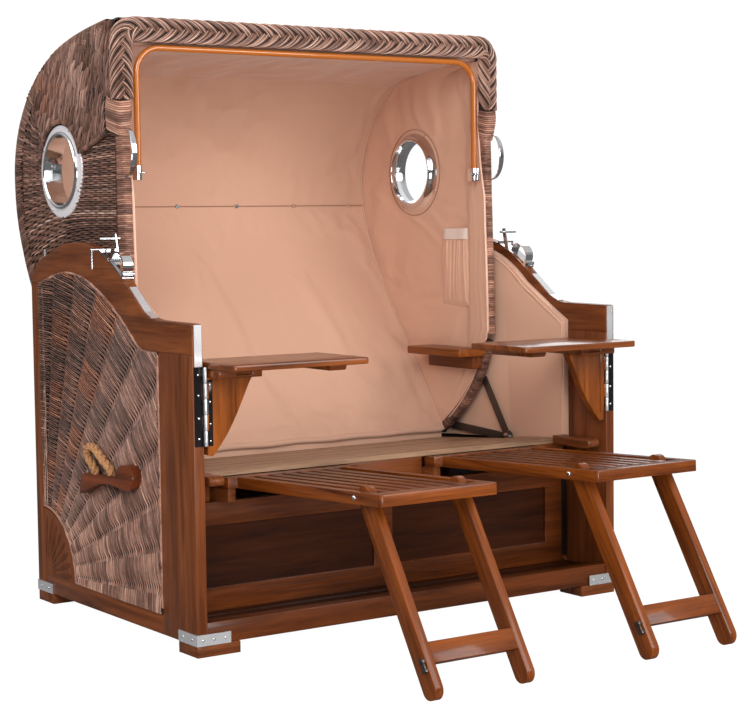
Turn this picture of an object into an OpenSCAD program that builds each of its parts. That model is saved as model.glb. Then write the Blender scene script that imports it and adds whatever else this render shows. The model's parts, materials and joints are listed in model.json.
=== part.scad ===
// Hooded beach chair: a slatted two-seat base with a half-reclining woven hood,
// two swing tables, two pull-out footrests and an awning bow.
// Seen from the front: +X is to the right, +Y to the back, +Z up. Lengths are millimetres.

/* [Base] */
// Width of the base over its side frames
base_w = 1300; // [1200:5:1400]
// Depth of the base from front to back
base_d = 888; // [860:2:920]
// Thickness of the side frames
frame_t = 28; // [24:1:32]
// Height of the armrests
arm_h = 787; // [770:1:800]
// Depth of the armrest boards over the front posts
arm_board = 73; // [62:1:87]
// Depth of the front posts
post_d = 168; // [150:1:180]
// Width of the rear stiles
stile_w = 53; // [45:1:60]
// Height of the feet
foot_h = 28; // [20:1:36]
// Width of the feet
foot_w = 117; // [90:1:130]
// Depth of the feet
foot_d = 92; // [80:1:110]
// Top of the lower rails
low_rail_z = 78; // [70:1:90]
// Thickness of the side wicker panels
wicker_t = 16; // [10:1:20]
// How far the wicker lies behind the frame face
wicker_inset = 4; // [2:1:8]
// Swell of the fan weave between its ribs
swell_h = 7; // [4:0.5:9]
// Radius of the carved corner boards
sunburst_r = 180; // [140:1:210]
// Thickness of the cloth-covered side boards
lining_board_t = 17; // [12:0.5:19]
// Front edge of the cloth-covered side boards
lining_front = 155; // [150:1:200]

/* [Seat] */
// Front edge of the seat
seat_front = 158; // [156:1:165]
// Height of the seat's front edge
seat_front_z = 415; // [413:1:420]
// Rear edge of the seat
seat_rear = 638; // [620:1:642]
// Height of the seat's rear edge
seat_rear_z = 379; // [378:0.5:384]
// Number of seat boards
seat_boards = 5; // [4:1:7]
// Gap between seat boards
seat_gap = 8; // [4:1:12]
// Thickness of the seat boards
seat_t = 13; // [10:0.5:14]
// Distance of the kickboard behind the front
kick_y = 168; // [164:1:180]
// Top of the kickboard
kick_top = 338; // [320:1:340]
// Thickness of the kickboard
kick_t = 20; // [14:1:24]

/* [Hood] */
// Width of the hood over its woven sides
hood_w = 1180; // [1100:2:1184]
// Front face of the hood
hood_front = 450; // [446:1:460]
// Top of the hood at its front
hood_top = 1542; // [1500:1:1560]
// Thickness of the woven hood side
hood_wall_t = 14; // [10:1:16]
// Thickness of the padded lining
lining_t = 9; // [6:0.5:12]
// Depth of the plaited front border
border_d = 68; // [55:1:80]
// Height of the plaited border along the top
border_h = 62; // [50:1:66]
// Height at which the plait turns into the wound edge
plait_end = 1335; // [1300:5:1380]
// Width of the wound front edge
wrap_w = 44; // [36:1:48]
// Centre of the portholes behind the base front
port_y = 802; // [790:1:815]
// Height of the porthole centre
port_z = 1165; // [1150:1:1180]
// Clear radius of the portholes
port_r = 100; // [85:1:105]
// Width of the porthole flanges
port_rim = 27; // [20:1:30]
// Number of buttons along the back seam
button_count = 6; // [4:1:8]
// Height of the button seam
button_z = 1070; // [1050:5:1090]
// Diameter of the awning bow tube
bow_d = 17; // [12:0.5:18]
// Corner radius of the awning bow
bow_r = 65; // [50:1:80]

/* [Tables] */
// Length of the table tops
table_len = 377; // [340:1:390]
// Depth of the table tops
table_depth = 231; // [200:1:240]
// Thickness of the table tops
table_t = 16; // [14:1:20]
// Height of the table surface
table_z = 697; // [690:1:710]
// Height of the table brackets
bracket_h = 182; // [150:1:190]
// Thickness of the table brackets
bracket_t = 22; // [18:1:26]

/* [Footrests] */
// Width of a footrest
rest_w = 324; // [310:1:330]
// Clear distance between the footrests
rest_apart = 296; // [290:1:310]
// Length of a footrest
rest_len = 655; // [640:1:660]
// Thickness of a footrest frame
rest_t = 27; // [24:1:28]
// Slope of the footrests in use, in degrees
rest_tilt = 2.4; // [2:0.1:2.6]
// Width of the footrest side rails
rest_rail = 24; // [20:1:26]
// Number of slats in a footrest
rest_slats = 6; // [5:1:7]
// Gap beside the legs
leg_gap = 2; // [1.5:0.5:3]
// Width of the footrest legs
leg_w = 22; // [18:1:24]
// Depth of the footrest legs
leg_d = 48; // [40:1:50]
// How far the feet of the legs stand before the base
leg_reach = 640; // [620:1:650]

/* [Hidden] */
$fn = 48;
gap = 0.3;
hood_rear = 1104;
leg_r = leg_d / 2;
mid_y = (hood_rear - leg_reach - leg_r) / 2;
half_w = base_w / 2;
post_h = arm_h - arm_board;
inner_w = half_w - frame_t;
lining_x = inner_w - gap - lining_board_t;
stile_y = base_d - stile_w;
hood_x = hood_w / 2;
wall_x = hood_x - hood_wall_t;
lining_out = wall_x - gap;
lining_in = lining_out - lining_t;
shell_front = hood_front + border_d + gap;
wood = "saddlebrown";
cane = "rosybrown";
cloth = "burlywood";
metal = "silver";

// A cubic curve in n steps, without its first point
function bez(a, b, c, d, n) =
  [for (i = [1 : n]) let (t = i / n, s = 1 - t)
    a * s * s * s + b * 3 * s * s * t + c * 3 * s * t * t + d * t * t * t];
// Points on a circle about c from angle a to angle b
function arc(c, r, a, b, n) = [for (i = [0 : n]) let (t = a + (b - a) * i / n) c + r * [cos(t), sin(t)]];
function unit(v) = v / norm(v);
function left_of(v) = [-v[1], v[0]];
// The same open line moved sideways by d, to its left
function beside(p, d) =
  [for (i = [0 : len(p) - 1])
    p[i] + d * left_of(unit(p[min(i + 1, len(p) - 1)] - p[max(i - 1, 0)]))];
function reversed(p) = [for (i = [len(p) - 1 : -1 : 0]) p[i]];

// Faces of a closed skin over n rings of points
function skin_faces(n, sides) =
  concat(
    [for (i = [0 : n - 2], k = [0 : sides - 1])
      let (a = i * sides + k, b = i * sides + (k + 1) % sides)
        each [[a, a + sides, b], [b, a + sides, b + sides]]],
    [[for (k = [0 : sides - 1]) k], [for (k = [sides - 1 : -1 : 0]) (n - 1) * sides + k]]);

module place() { translate([0, -mid_y, 0]) children(); }
module both() { children(); mirror([1, 0, 0]) children(); }
// An outline in the y-z plane, from x = a outwards by t
module slab(a, t) { translate([a, 0, 0]) rotate([90, 0, 90]) linear_extrude(t) children(); }
// A box from its lowest to its highest corner
module block(lo, hi) { translate(lo) cube(hi - lo); }
module rod_x(x, y, z, r, len) { translate([x, y, z]) rotate([0, 90, 0]) cylinder(r = r, h = len); }

// Base: side frames
rail_c = [base_d - 275, 532];
rail_r = 443;
rail_start = 129;
rail_end = 70;
rail_knee = 205;
stile_top = rail_c[1] + 332;
hump_z = rail_c[1] + 398;
rail_out = concat(
  [[0, arm_h - 4], [4, arm_h], [rail_knee - 34, arm_h + 2], [rail_knee, arm_h + 6], [rail_knee + 34, arm_h + 20]],
  arc(rail_c, rail_r, rail_start, rail_end, 24),
  [[base_d - 62, hump_z], [base_d - 20, hump_z - 28], [base_d, stile_top + 14]]);
rail_low = rail_c + [43, 367];
rail_bend = rail_c + [-253, 258];
rail_in = concat(
  [[stile_y, stile_top]],
  bez([stile_y, stile_top], [stile_y - 45, stile_top + 16], rail_low + [64, 0], rail_low, 6),
  bez(rail_low, rail_low - [116, 5], rail_bend + [80, 50], rail_bend, 8),
  bez(rail_bend, rail_bend - [50, 34], [rail_knee + 65, post_h + 2], [rail_knee + 35, post_h], 5));
panel_out = concat([[post_d, low_rail_z], [stile_y, low_rail_z]], rail_in, [[post_d, post_h]]);

module front_post() { block([inner_w, 0, foot_h], [half_w, post_d, post_h]); }
module rear_stile() { block([inner_w, stile_y, foot_h], [half_w, base_d, stile_top]); }
module bottom_rail() { block([inner_w, post_d, foot_h], [half_w, stile_y, low_rail_z]); }
module top_rail() {
  slab(inner_w, frame_t)
    polygon(concat(rail_out, [[base_d, stile_top]], rail_in, [[post_d, post_h], [0, post_h]]));
}
module sunburst_2d(grow) {
  intersection() {
    translate([stile_y, low_rail_z]) circle(r = sunburst_r + grow, $fn = 72);
    translate([stile_y - sunburst_r - grow, low_rail_z]) square(sunburst_r + grow);
  }
}
// The weave fans out from the rear corner and swells between its ribs
fan_c = [stile_y + 13, low_rail_z + 2];
fan_from = 88;
fan_step = 8.7;
fan_sectors = 10;
fan_in = 190;
fan_full = 420;
fan_out = 1010;
fan_section = [[0.03, -1], [0.03, 0], [0.2, 0.62], [0.5, 1], [0.8, 0.62], [0.97, 0], [0.97, -1]];
module fan_swell(i) {
  rows = [[fan_out, swell_h], [fan_full, swell_h], [fan_in, swell_h * fan_in / fan_full]];
  sides = len(fan_section);
  points = [for (r = rows, u = fan_section)
    let (t = fan_from + fan_step * (i + u[0]), reach = r[0] / cos(fan_step * (u[0] - 0.5)))
      [half_w - wicker_inset + (u[1] < 0 ? -1 : r[1] * u[1]), fan_c[0] + reach * cos(t), fan_c[1] + reach * sin(t)]];
  polyhedron(points, skin_faces(len(rows), sides));
}
module wicker_panel() {
  face = half_w - wicker_inset;
  difference() {
    slab(face - wicker_t, wicker_t) polygon(panel_out);
    slab(inner_w, frame_t) sunburst_2d(0);
  }
  difference() {
    intersection() {
      slab(face - 1, swell_h + 2) polygon(panel_out);
      for (i = [0 : fan_sectors]) fan_swell(i);
    }
    slab(face - 2, swell_h + 4) sunburst_2d(gap);
    slab(face - 2, swell_h + 4) offset(delta = gap) polygon(board_out);
  }
}
module sunburst() {
  ray_w = 7;
  ray_deep = 3;
  rays = 8;
  difference() {
    slab(half_w - wicker_inset - wicker_t, wicker_t + wicker_inset + 2) sunburst_2d(-gap);
    for (i = [1 : rays - 1])
      translate([half_w + 2 - ray_deep, stile_y, low_rail_z])
        rotate([i * 90 / rays, 0, 0])
          translate([0, -sunburst_r + 14, -ray_w / 2]) cube([ray_deep + 1, sunburst_r - 50, ray_w]);
  }
}
lining_top = concat(
  [[lining_front, arm_h - 45], [rail_knee + 3, arm_h - 16]],
  arc(rail_c, rail_r - 22, 132, 72, 16),
  [[base_d - 82, stile_top + 34], [stile_y, stile_top + 12]]);
module side_lining_board() {
  difference() {
    slab(lining_x, lining_board_t)
      polygon(concat([[stile_y, 372], [lining_front, 408]], lining_top));
    rod_x(lining_x - 1, pivot_y, pivot_z, pin_r + pin_play, lining_board_t + 2);
  }
}
module foot() {
  block([half_w - foot_w, 0, 0], [half_w, foot_d, foot_h]);
}
module rear_foot() { translate([0, base_d - foot_d, 0]) foot(); }

module left_front_post() { place() color(wood) mirror([1, 0, 0]) front_post(); }
module right_front_post() { place() color(wood) front_post(); }
module rear_stiles() { place() color(wood) both() rear_stile(); }
module bottom_rails() { place() color(wood) both() bottom_rail(); }
module left_top_rail() { place() color(wood) mirror([1, 0, 0]) top_rail(); }
module right_top_rail() { place() color(wood) top_rail(); }
module left_wicker_panel() { place() color(cane) mirror([1, 0, 0]) wicker_panel(); }
module right_wicker_panel() { place() color(cane) wicker_panel(); }
module sunburst_corners() { place() color(wood) both() sunburst(); }
module side_lining_boards() { place() color(cloth) both() side_lining_board(); }
module feet() { place() color(wood) both() { foot(); rear_foot(); } }

// Base: front, floor, back
rail_front = 4;
floor_rail_t = 36;
floor_t = 16;
floor_z = low_rail_z - 10;
floor_boards = 9;
floor_gap = 12;
back_t = 22;
back_y = base_d - back_t;
back_top = 362;
back_rail = 50;
module front_floor_rail() {
  place() color(wood) block([-inner_w, rail_front, foot_h], [inner_w, rail_front + floor_rail_t, low_rail_z + 3]);
}
module floor_slats() {
  y0 = rail_front + floor_rail_t + 4;
  pitch = (back_y - 4 - y0) / floor_boards;
  place() color(wood) {
    for (i = [0 : floor_boards - 1])
      block([-inner_w, y0 + i * pitch, floor_z - floor_t], [inner_w, y0 + (i + 1) * pitch - floor_gap, floor_z]);
    for (x = [-inner_w, inner_w - 30])
      block([x, rail_front + floor_rail_t, foot_h], [x + 30, back_y, floor_z - floor_t]);
    block([-20, rail_front + floor_rail_t, foot_h], [20, back_y, floor_z - floor_t]);
  }
}
module back_frame() {
  place() color(wood) difference() {
    block([-inner_w, back_y, foot_h], [inner_w, base_d, back_top]);
    block([-inner_w + back_rail, back_y - 1, foot_h + back_rail], [inner_w - back_rail, base_d + 1, back_top - back_rail]);
  }
}
module back_wicker_panel() {
  place() color(cane)
    block([-inner_w + back_rail, back_y + 3, foot_h + back_rail], [inner_w - back_rail, base_d - wicker_inset, back_top - back_rail]);
}
kick_stile = 58;
module kickboard_frame() {
  place() color(wood) difference() {
    block([-lining_x, kick_y, floor_z], [lining_x, kick_y + kick_t, kick_top]);
    for (s = [-1, 1])
      translate([s * lining_x / 2, 0, 0])
        block([-lining_x / 2 + kick_stile * (s < 0 ? 1 : 0.5), kick_y - 1, floor_z + kick_stile],
              [lining_x / 2 - kick_stile * (s < 0 ? 0.5 : 1), kick_y + kick_t + 1, kick_top - kick_stile]);
  }
}
module kickboard_panel() {
  place() color(wood) for (s = [-1, 1])
    translate([s * lining_x / 2, 0, 0])
      block([-lining_x / 2 + kick_stile * (s < 0 ? 1 : 0.5), kick_y + 9, floor_z + kick_stile],
            [lining_x / 2 - kick_stile * (s < 0 ? 0.5 : 1), kick_y + 17, kick_top - kick_stile]);
}

// Seat: boards on a sloping frame, open under the front edge where the footrests slide
seat_slope = atan((seat_front_z - seat_rear_z) / (seat_rear - seat_front));
seat_len = norm([seat_rear - seat_front, seat_front_z - seat_rear_z]);
narrow_from = 360;
narrow_x = 544;
wide_x = lining_x - 2;
bearer_h = 30;
bearer_t = 24;
trestle_y = 592;
trestle_t = 22;
rest_in = rest_apart / 2;
rest_out = rest_in + rest_w;
bar_over = 27;
module on_seat() { translate([0, seat_front, seat_front_z]) rotate([-seat_slope, 0, 0]) children(); }
module seat_slats() {
  pitch = (seat_len + seat_gap) / seat_boards;
  place() color(wood) on_seat()
    for (i = [0 : seat_boards - 1])
      let (x = seat_front + (i + 1) * pitch > narrow_from ? narrow_x : wide_x)
        block([-x, i * pitch, -seat_t], [x, (i + 1) * pitch - seat_gap, 0]);
}
module seat_bearer(x) {
  slab(x, bearer_t)
    polygon([
      [kick_y + 12, seat_z(kick_y + 12) - seat_t - gap],
      [kick_y + 12, kick_top],
      [trestle_y + trestle_t, seat_z(trestle_y) - seat_t - bearer_h],
      [trestle_y + trestle_t, seat_z(trestle_y + trestle_t) - seat_t - gap]]);
}
function seat_z(y) = seat_front_z - (y - seat_front) * tan(seat_slope);
module seat_frame() {
  end_x = rest_out + bar_over + 10;
  post_top = seat_z(trestle_y) - seat_t - bearer_h - gap;
  place() color(wood) {
    for (x = [-end_x - bearer_t, -bearer_t / 2, end_x]) seat_bearer(x);
    difference() {
      block([-end_x - bearer_t, trestle_y, floor_z], [end_x + bearer_t, trestle_y + trestle_t, post_top]);
      for (s = [-1, 1])
        translate([s * end_x / 2, 0, 0])
          block([-end_x / 2 + 24, trestle_y - 1, floor_z - 1], [end_x / 2 - 24, trestle_y + trestle_t + 1, post_top - 60]);
    }
    apron();
  }
}
// Front edge board in three lengths, with a bay for each footrest
module apron() {
  apron_z = 382;
  apron_t = 11;
  bay_in = rest_in - bar_over - 3;
  bay_out = rest_out + bar_over + 3;
  top = seat_z(seat_front + apron_t) - seat_t - gap;
  for (x = [[-wide_x, -bay_out], [-bay_in, bay_in], [bay_out, wide_x]])
    block([x[0], seat_front, apron_z], [x[1], seat_front + apron_t, top]);
  block([-bay_in, seat_front, kick_top + gap], [bay_in, kick_y + kick_t, apron_z + 1]);
}

// Runners carry the rear bars of the footrests; side ledges lie before the seat's ends
slide_slope = 4.5;
rest_rear = 150;
rest_rear_z = 401;
bar_d = 42;
runner_t = 34;
runner_front = 112;
runner_rear = trestle_y - gap;
function under_bar(y) = rest_rear_z - rest_t - gap - (y - rest_rear) * tan(slide_slope);
module runner(a, b) {
  slab(a, b - a)
    polygon([
      [runner_front, under_bar(runner_front)], [runner_front, under_bar(runner_front) - runner_t],
      [runner_rear, under_bar(runner_rear) - runner_t], [runner_rear, under_bar(runner_rear)]]);
}
module side_ledge() {
  ledge_rear = seat_front - seat_t * sin(seat_slope) - gap;
  slab(lining_x - 40, 40 - gap)
    polygon(concat(arc([20, 412], 12, 90, 270, 8), [[ledge_rear, 400], [ledge_rear, 424]]));
}
module footrest_runners() {
  place() color(wood) both() {
    difference() {
      union() {
        runner(rest_in - bar_over + 3, rest_in - 3);
        runner(rest_out + 3, rest_out + bar_over - 3);
      }
      block([0, kick_y - gap, 0], [half_w, kick_y + kick_t + gap, kick_top + gap]);
    }
    side_ledge();
  }
}

// Base: fittings
plate_l = 90;
plate_h = 27;
plate_t = 2;
strip_t = 2.5;
strip_w = 20;
module corner_plate() {
  block([half_w - plate_l, -plate_t, foot_h], [half_w, 0, foot_h + plate_h]);
  block([half_w, -plate_t, foot_h], [half_w + plate_t, plate_l, foot_h + plate_h]);
}
module rear_plate() { translate([0, base_d, 0]) mirror([0, 1, 0]) corner_plate(); }
module corner_plates() { place() color(metal) both() { corner_plate(); rear_plate(); } }
slope_foot = [rail_knee + 34, arm_h + 20];
slope_line = [
  [rail_knee + 1, arm_h + 6.4], slope_foot,
  slope_foot + 0.83 * (rail_c + rail_r * [cos(rail_start), sin(rail_start)] - slope_foot)];
module edge_strip() {
  block([half_w - 5 - strip_w, -plate_t, hinge_high + 1], [half_w - 5, 0, arm_h - 2]);
  slab(half_w - 4 - strip_w, strip_w) polygon(concat(slope_line, reversed(beside(slope_line, strip_t))));
}
// Stop pins behind the humps of the top rails
module stop_pin() { translate([half_w - frame_t / 2, base_d - 62, hump_z + 1.2]) cylinder(r = 3, h = 24); }
module edge_strips() { place() color(metal) both() { edge_strip(); stop_pin(); } }
board_t = 36;
board_x = half_w - wicker_inset;
board_out = concat(
  [[550, 332]],
  bez([550, 332], [552, 372], [530, 392], [505, 391], 5),
  bez([505, 391], [470, 384], [430, 394], [354, 396], 6),
  bez([354, 396], [338, 400], [338, 430], [303, 430], 5),
  bez([303, 430], [270, 430], [254, 416], [256, 398], 5),
  bez([256, 398], [260, 372], [284, 362], [318, 368], 5),
  bez([318, 368], [400, 380], [450, 374], [550, 332], 7));
module rope_board() {
  difference() {
    slab(board_x, board_t) polygon(board_out);
    for (p = rope_ends) translate([rope_x, p[0], p[1]]) cylinder(r = rope_r + 0.6, h = 80);
  }
}
module rope_boards() { place() color(wood) both() rope_board(); }
// Rope loop: out of one hole of the board, up and over, and down into the other
rope_r = 11.5;
rope_x = 666;
rope_ends = [[487, 366], [400, 380]];
rope_route = [
  [666, 487, 366.4], [666, 487, 378], [666, 487, 390], [666.5, 489, 400], [669, 497, 411], [672, 507, 421],
  [675, 513, 433], [677, 512, 445], [678.5, 503, 455], [679, 489, 460], [678.5, 471, 459], [677.5, 455, 451],
  [675.5, 441, 439], [672.5, 427, 427], [669.5, 414, 418], [667, 404, 410], [666, 400, 400], [666, 400, 390],
  [666, 400, 380.4]];
module tube(path, r, sides) {
  n = len(path);
  ring = function (i)
    let (t = unit(path[min(i + 1, n - 1)] - path[max(i - 1, 0)]),
         u = unit(cross(t, [1, 0, 0])), v = cross(t, u))
      [for (k = [0 : sides - 1]) path[i] + r * (cos(360 * k / sides) * u + sin(360 * k / sides) * v)];
  points = [for (i = [0 : n - 1]) each ring(i)];
  polyhedron(points, skin_faces(n, sides));
}
module left_rope() { place() color("tan") mirror([1, 0, 0]) tube(rope_route, rope_r, 10); }
module right_rope() { place() color("tan") tube(rope_route, rope_r, 10); }

// Hood: profile lines in the y-z plane, from the front edge over the top and down the back
roof_t = border_h + 4;
belly_z = 1150;
shell_foot = [684, 386];
cloth_foot = [661, 398];
shell_bend = [1050, 925];
cloth_bend = [1030, 935];
crown = [880, hood_top - 86];
cloth_crown = [900, hood_top - 114];
cloth_rear = hood_rear - 20;
function over_belly(share) = belly_z + share * (hood_top - belly_z);
shell_out = concat(
  [[hood_front, hood_top]],
  bez([hood_front, hood_top], [620, hood_top - 14], crown + [-90, 50], crown, 7),
  bez(crown, crown + [130, -66], [hood_rear, over_belly(0.357)], [hood_rear, belly_z], 9),
  bez([hood_rear, belly_z], [hood_rear, belly_z - 100], shell_bend + [30, 65], shell_bend, 6),
  bez(shell_bend, shell_bend - [50, 113], shell_foot + [116, 180], shell_foot, 9));
cloth_in = concat(
  [[hood_front + 14, hood_top - roof_t]],
  bez([hood_front + 14, hood_top - roof_t], [620, hood_top - roof_t - 1], cloth_crown + [-100, 34], cloth_crown, 7),
  bez(cloth_crown, cloth_crown + [90, -46], [cloth_rear - 4, over_belly(0.301)], [cloth_rear, belly_z], 9),
  bez([cloth_rear, belly_z], [cloth_rear - 2, belly_z - 100], cloth_bend + [28, 55], cloth_bend, 6),
  bez(cloth_bend, cloth_bend - [50, 113], cloth_foot + [119, 178], cloth_foot, 9));
lower_edge = concat(
  bez([444, 790], [438, 690], [438, 640], [492, 556], 6),
  bez([492, 556], [540, 486], [600, 440], cloth_foot, 6));
edge_t = 20;
edge_top = 799;
side_foot = 400;
side_end = [shell_foot[0] - 16, side_foot + 2];
pivot_y = 390;
pivot_z = 396;
pin_r = 8;
pin_play = 0.06;
module hood_side() {
  difference() {
    slab(wall_x, hood_wall_t) side_shape();
    rod_x(wall_x - 1, port_y, port_z, port_r + 8, hood_wall_t + 2);
  }
}
side_line = beside(lower_edge, edge_t + gap);
module side_shape() {
  polygon(concat(
    [[shell_front, edge_top + 1]],
    [for (p = side_line) if (p[0] > shell_front && p[1] > side_foot) p],
    [side_end],
    reversed(shell_out_from_front)));
}
shell_out_from_front = concat([[shell_front, hood_top - 6]], [for (p = shell_out) if (p[0] > shell_front) p]);
cloth_from_front = concat([[shell_front, hood_top - roof_t]], [for (p = cloth_in) if (p[0] > shell_front) p]);
cloth_back = beside(cloth_from_front, lining_t);
module left_hood_side() { place() color(cane) mirror([1, 0, 0]) hood_side(); }
module right_hood_side() { place() color(cane) hood_side(); }
module hood_back_shell() {
  place() color(cane) slab(-wall_x + gap, 2 * (wall_x - gap))
    polygon(concat(shell_out_from_front, reversed(beside(cloth_from_front, lining_t + gap))));
}
module back_lining() {
  place() color(cloth) slab(-lining_in, 2 * lining_in) polygon(concat(cloth_back, reversed(cloth_from_front)));
}
module hood_side_lining() {
  difference() {
    slab(lining_in + gap, lining_t - gap)
      polygon(concat(
        [[shell_front, edge_top + 1]],
        [for (p = side_line) if (p[0] > shell_front && p[1] > side_foot) p],
        [side_end],
        reversed(cloth_back)));
    rod_x(lining_in - 1, port_y, port_z, port_r + 8, lining_t + 2);
  }
}
module hood_side_linings() { place() color(cloth) both() hood_side_lining(); }

// Plaited border across the top and down to plait_end, wound edge below it
plait_over = 8;
corner_out = 46;
corner_in = 34;
module border_2d(x, top, r) {
  translate([-x, 0]) square([2 * x, top - r]);
  translate([-x + r, 0]) square([2 * (x - r), top]);
  for (s = [-1, 1]) translate([s * (x - r), top - r]) circle(r = r);
}
module front_plait() {
  place() color(cane) translate([0, shell_front - gap, 0]) rotate([90, 0, 0]) linear_extrude(border_d)
    difference() {
      border_2d(hood_x + plait_over, hood_top + 3, corner_out);
      border_2d(hood_x - wrap_w, hood_top - border_h, corner_in);
      translate([-hood_w, 0]) square([2 * hood_w, plait_end]);
    }
}
wrap_d = 56;
wrap_low = 690;
wrap_r = 16;
module wound_edge() {
  translate([hood_x - wrap_w, hood_front, wrap_low]) linear_extrude(plait_end - gap - wrap_low) wrap_2d();
}
module wrap_2d() {
  translate([0, wrap_r]) square([wrap_w, wrap_d - wrap_r]);
  translate([wrap_r, 0]) square([wrap_w - 2 * wrap_r, wrap_d]);
  for (x = [wrap_r, wrap_w - wrap_r]) translate([x, wrap_r]) circle(r = wrap_r);
}
module front_wound_edges() { place() color(cane) both() { wound_edge(); wall_front_board(); } }
// Strip that closes the side between the wound edge and the woven wall
module wall_front_board() {
  block([lining_in + gap, hood_front + wrap_d - 1, edge_top + 1], [hood_x, shell_front - gap, plait_end - gap]);
}
module hood_lower_edging() {
  front = hood_front + wrap_d + gap;
  inner = [for (p = side_line) if (p[1] > side_foot && p[0] > shell_front) p - [gap, gap]];
  place() color(cane) both() slab(lining_in + gap, hood_x - lining_in - gap)
    polygon(concat(
      [[shell_front - gap, edge_top], [front, edge_top], [front, wrap_low - gap], [hood_front - 9, wrap_low - gap]],
      [for (p = lower_edge) if (p[1] < wrap_low - 1) p],
      reversed(inner)));
}

// Hood: portholes, handles, armrests, pockets, buttons
glass_t = 5;
flange_t = 6;
sleeve_t = 6;
module ring_x(x, r_out, r_in, t) {
  difference() {
    rod_x(x, port_y, port_z, r_out, t);
    rod_x(x - 1, port_y, port_z, r_in, t + 2);
  }
}
glass_x = lining_in + gap + 8;
module porthole_outer_ring() {
  ring_x(hood_x + gap, port_r + port_rim, port_r, flange_t);
  ring_x(glass_x + glass_t + gap, port_r + sleeve_t, port_r, hood_x + gap - glass_x - glass_t - gap);
}
module porthole_inner_ring() {
  ring_x(lining_in - flange_t, port_r + port_rim, port_r, flange_t);
  ring_x(lining_in, port_r + sleeve_t, port_r, glass_x - gap - lining_in);
}
module porthole_outer_rings() { place() color(metal) both() porthole_outer_ring(); }
module porthole_inner_rings() { place() color(metal) both() porthole_inner_ring(); }
module porthole_panes() { place() color("lightblue") both() rod_x(glass_x, port_y, port_z, port_r + sleeve_t - 1, glass_t); }
handle_x = 568;
handle_z = 1200;
handle_half = 63;
handle_out = 58;
handle_r = 7;
handle_arc = (handle_half * handle_half + handle_out * handle_out) / (2 * handle_out);
module grab_handle() {
  front = hood_front - gap;
  translate([handle_x, front + handle_arc - handle_out, handle_z]) difference() {
    rotate([0, 90, 0]) rotate_extrude() translate([handle_arc, 0]) circle(r = handle_r);
    block([-20, handle_out - handle_arc, -120], [20, 120, 120]);
  }
  for (s = [-1, 1])
    translate([handle_x, front, handle_z + s * handle_half]) rotate([90, 0, 0]) cylinder(r = 12, h = 4);
}
module grab_handles() { place() color(metal) both() grab_handle(); }
pad_x = 470;
pad_front = hood_front + 8;
pad_len = 255;
pad_top = 650;
pad_t = 22;
batten_w = 35;
batten_h = 38;
batten_inset = [16, 23];
module hood_armrests() {
  place() color(wood) both() block([pad_x, pad_front, pad_top - pad_t], [lining_in, pad_front + pad_len, pad_top]);
}
module armrest_battens() {
  low = pad_top - pad_t - batten_h;
  place() color(wood) both()
    block([lining_in - batten_w, pad_front + batten_inset[0], low],
          [lining_in, pad_front + pad_len - batten_inset[1], low + batten_h]);
}
arm_bar_t = 5;
arm_bar_w = 22;
module bar_2d(b) {
  d = b - [pivot_y, pivot_z];
  translate([pivot_y, pivot_z]) rotate(atan2(d[1], d[0]))
    translate([10, -arm_bar_w / 2]) square([norm(d) - 10, arm_bar_w]);
}
module hinge_arm() {
  slab(hood_x + gap, arm_bar_t) difference() {
    union() {
      bar_2d([500, 560]);
      bar_2d([672, 412]);
      translate([pivot_y, pivot_z]) circle(r = 20);
    }
    translate([pivot_y, pivot_z]) circle(r = pin_r + pin_play);
  }
}
module hinge_arms() { place() color("dimgray") both() hinge_arm(); }
module hood_pivot_pins() {
  place() color(metal) both() {
    rod_x(hood_x - 5, pivot_y, pivot_z, pin_r, inner_w - gap - hood_x + 5);
    rod_x(hood_x - 5, pivot_y, pivot_z, pin_r + 5, 5);
  }
}
pocket_front = 532;
pocket_w = 132;
pocket_low = 769;
pocket_h = 231;
pocket_t = 12;
module lining_pocket() {
  block([lining_in - pocket_t, pocket_front, pocket_low], [lining_in - gap, pocket_front + pocket_w, pocket_low + pocket_h]);
}
module lining_pockets() { place() color(cloth) both() lining_pocket(); }
button_inset = 60;
module lining_buttons() {
  button_r = 6;
  button_t = 6;
  span = 2 * (lining_in - button_inset);
  y = seam_y(button_z) - button_t - 1;
  place() color("gray")
    for (i = [0 : button_count - 1])
      translate([-span / 2 + span * i / (button_count - 1), y, button_z])
        rotate([-90, 0, 0]) cylinder(r = button_r, h = button_t);
}
function seam_y(z) =
  let (hits = [for (i = [0 : len(cloth_in) - 2])
    let (p = cloth_in[i], q = cloth_in[i + 1])
      if (p[0] > 900 && (p[1] - z) * (q[1] - z) <= 0) p[0] + (q[0] - p[0]) * (p[1] - z) / (p[1] - q[1])])
  hits[0];

// Awning bow: tube in two hinge brackets on the wound edges
bow_z = 1150;
bow_x = 534;
bow_y = hood_front + 16;
bow_top = hood_top - 77;
pivot_pin_r = 3;
module awning_bow() {
  r = bow_d / 2;
  place() color("chocolate") translate([0, bow_y, 0]) {
    both() {
      difference() {
        translate([bow_x, 0, bow_z - 10]) cylinder(r = r, h = bow_top - bow_r - bow_z + 10);
        rod_x(bow_x - 20, 0, bow_z, pivot_pin_r + pin_play, 40);
      }
      translate([bow_x - bow_r, 0, bow_top - bow_r]) rotate([90, 0, 0]) rotate_extrude(angle = 90)
        translate([bow_r, 0]) circle(r = r);
    }
    rod_x(-bow_x + bow_r, 0, bow_top, r, 2 * (bow_x - bow_r));
  }
}
module bow_bracket() {
  r = bow_d / 2;
  edge = hood_x - wrap_w - gap;
  rod_x(bow_x - r - 4, bow_y, bow_z, pivot_pin_r, edge - bow_x + r + 4);
  block([bow_x + r + gap, bow_y - 9, bow_z - 18], [edge, bow_y + 40, bow_z + 18]);
}
module bow_brackets() { place() color(metal) both() bow_bracket(); }

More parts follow.
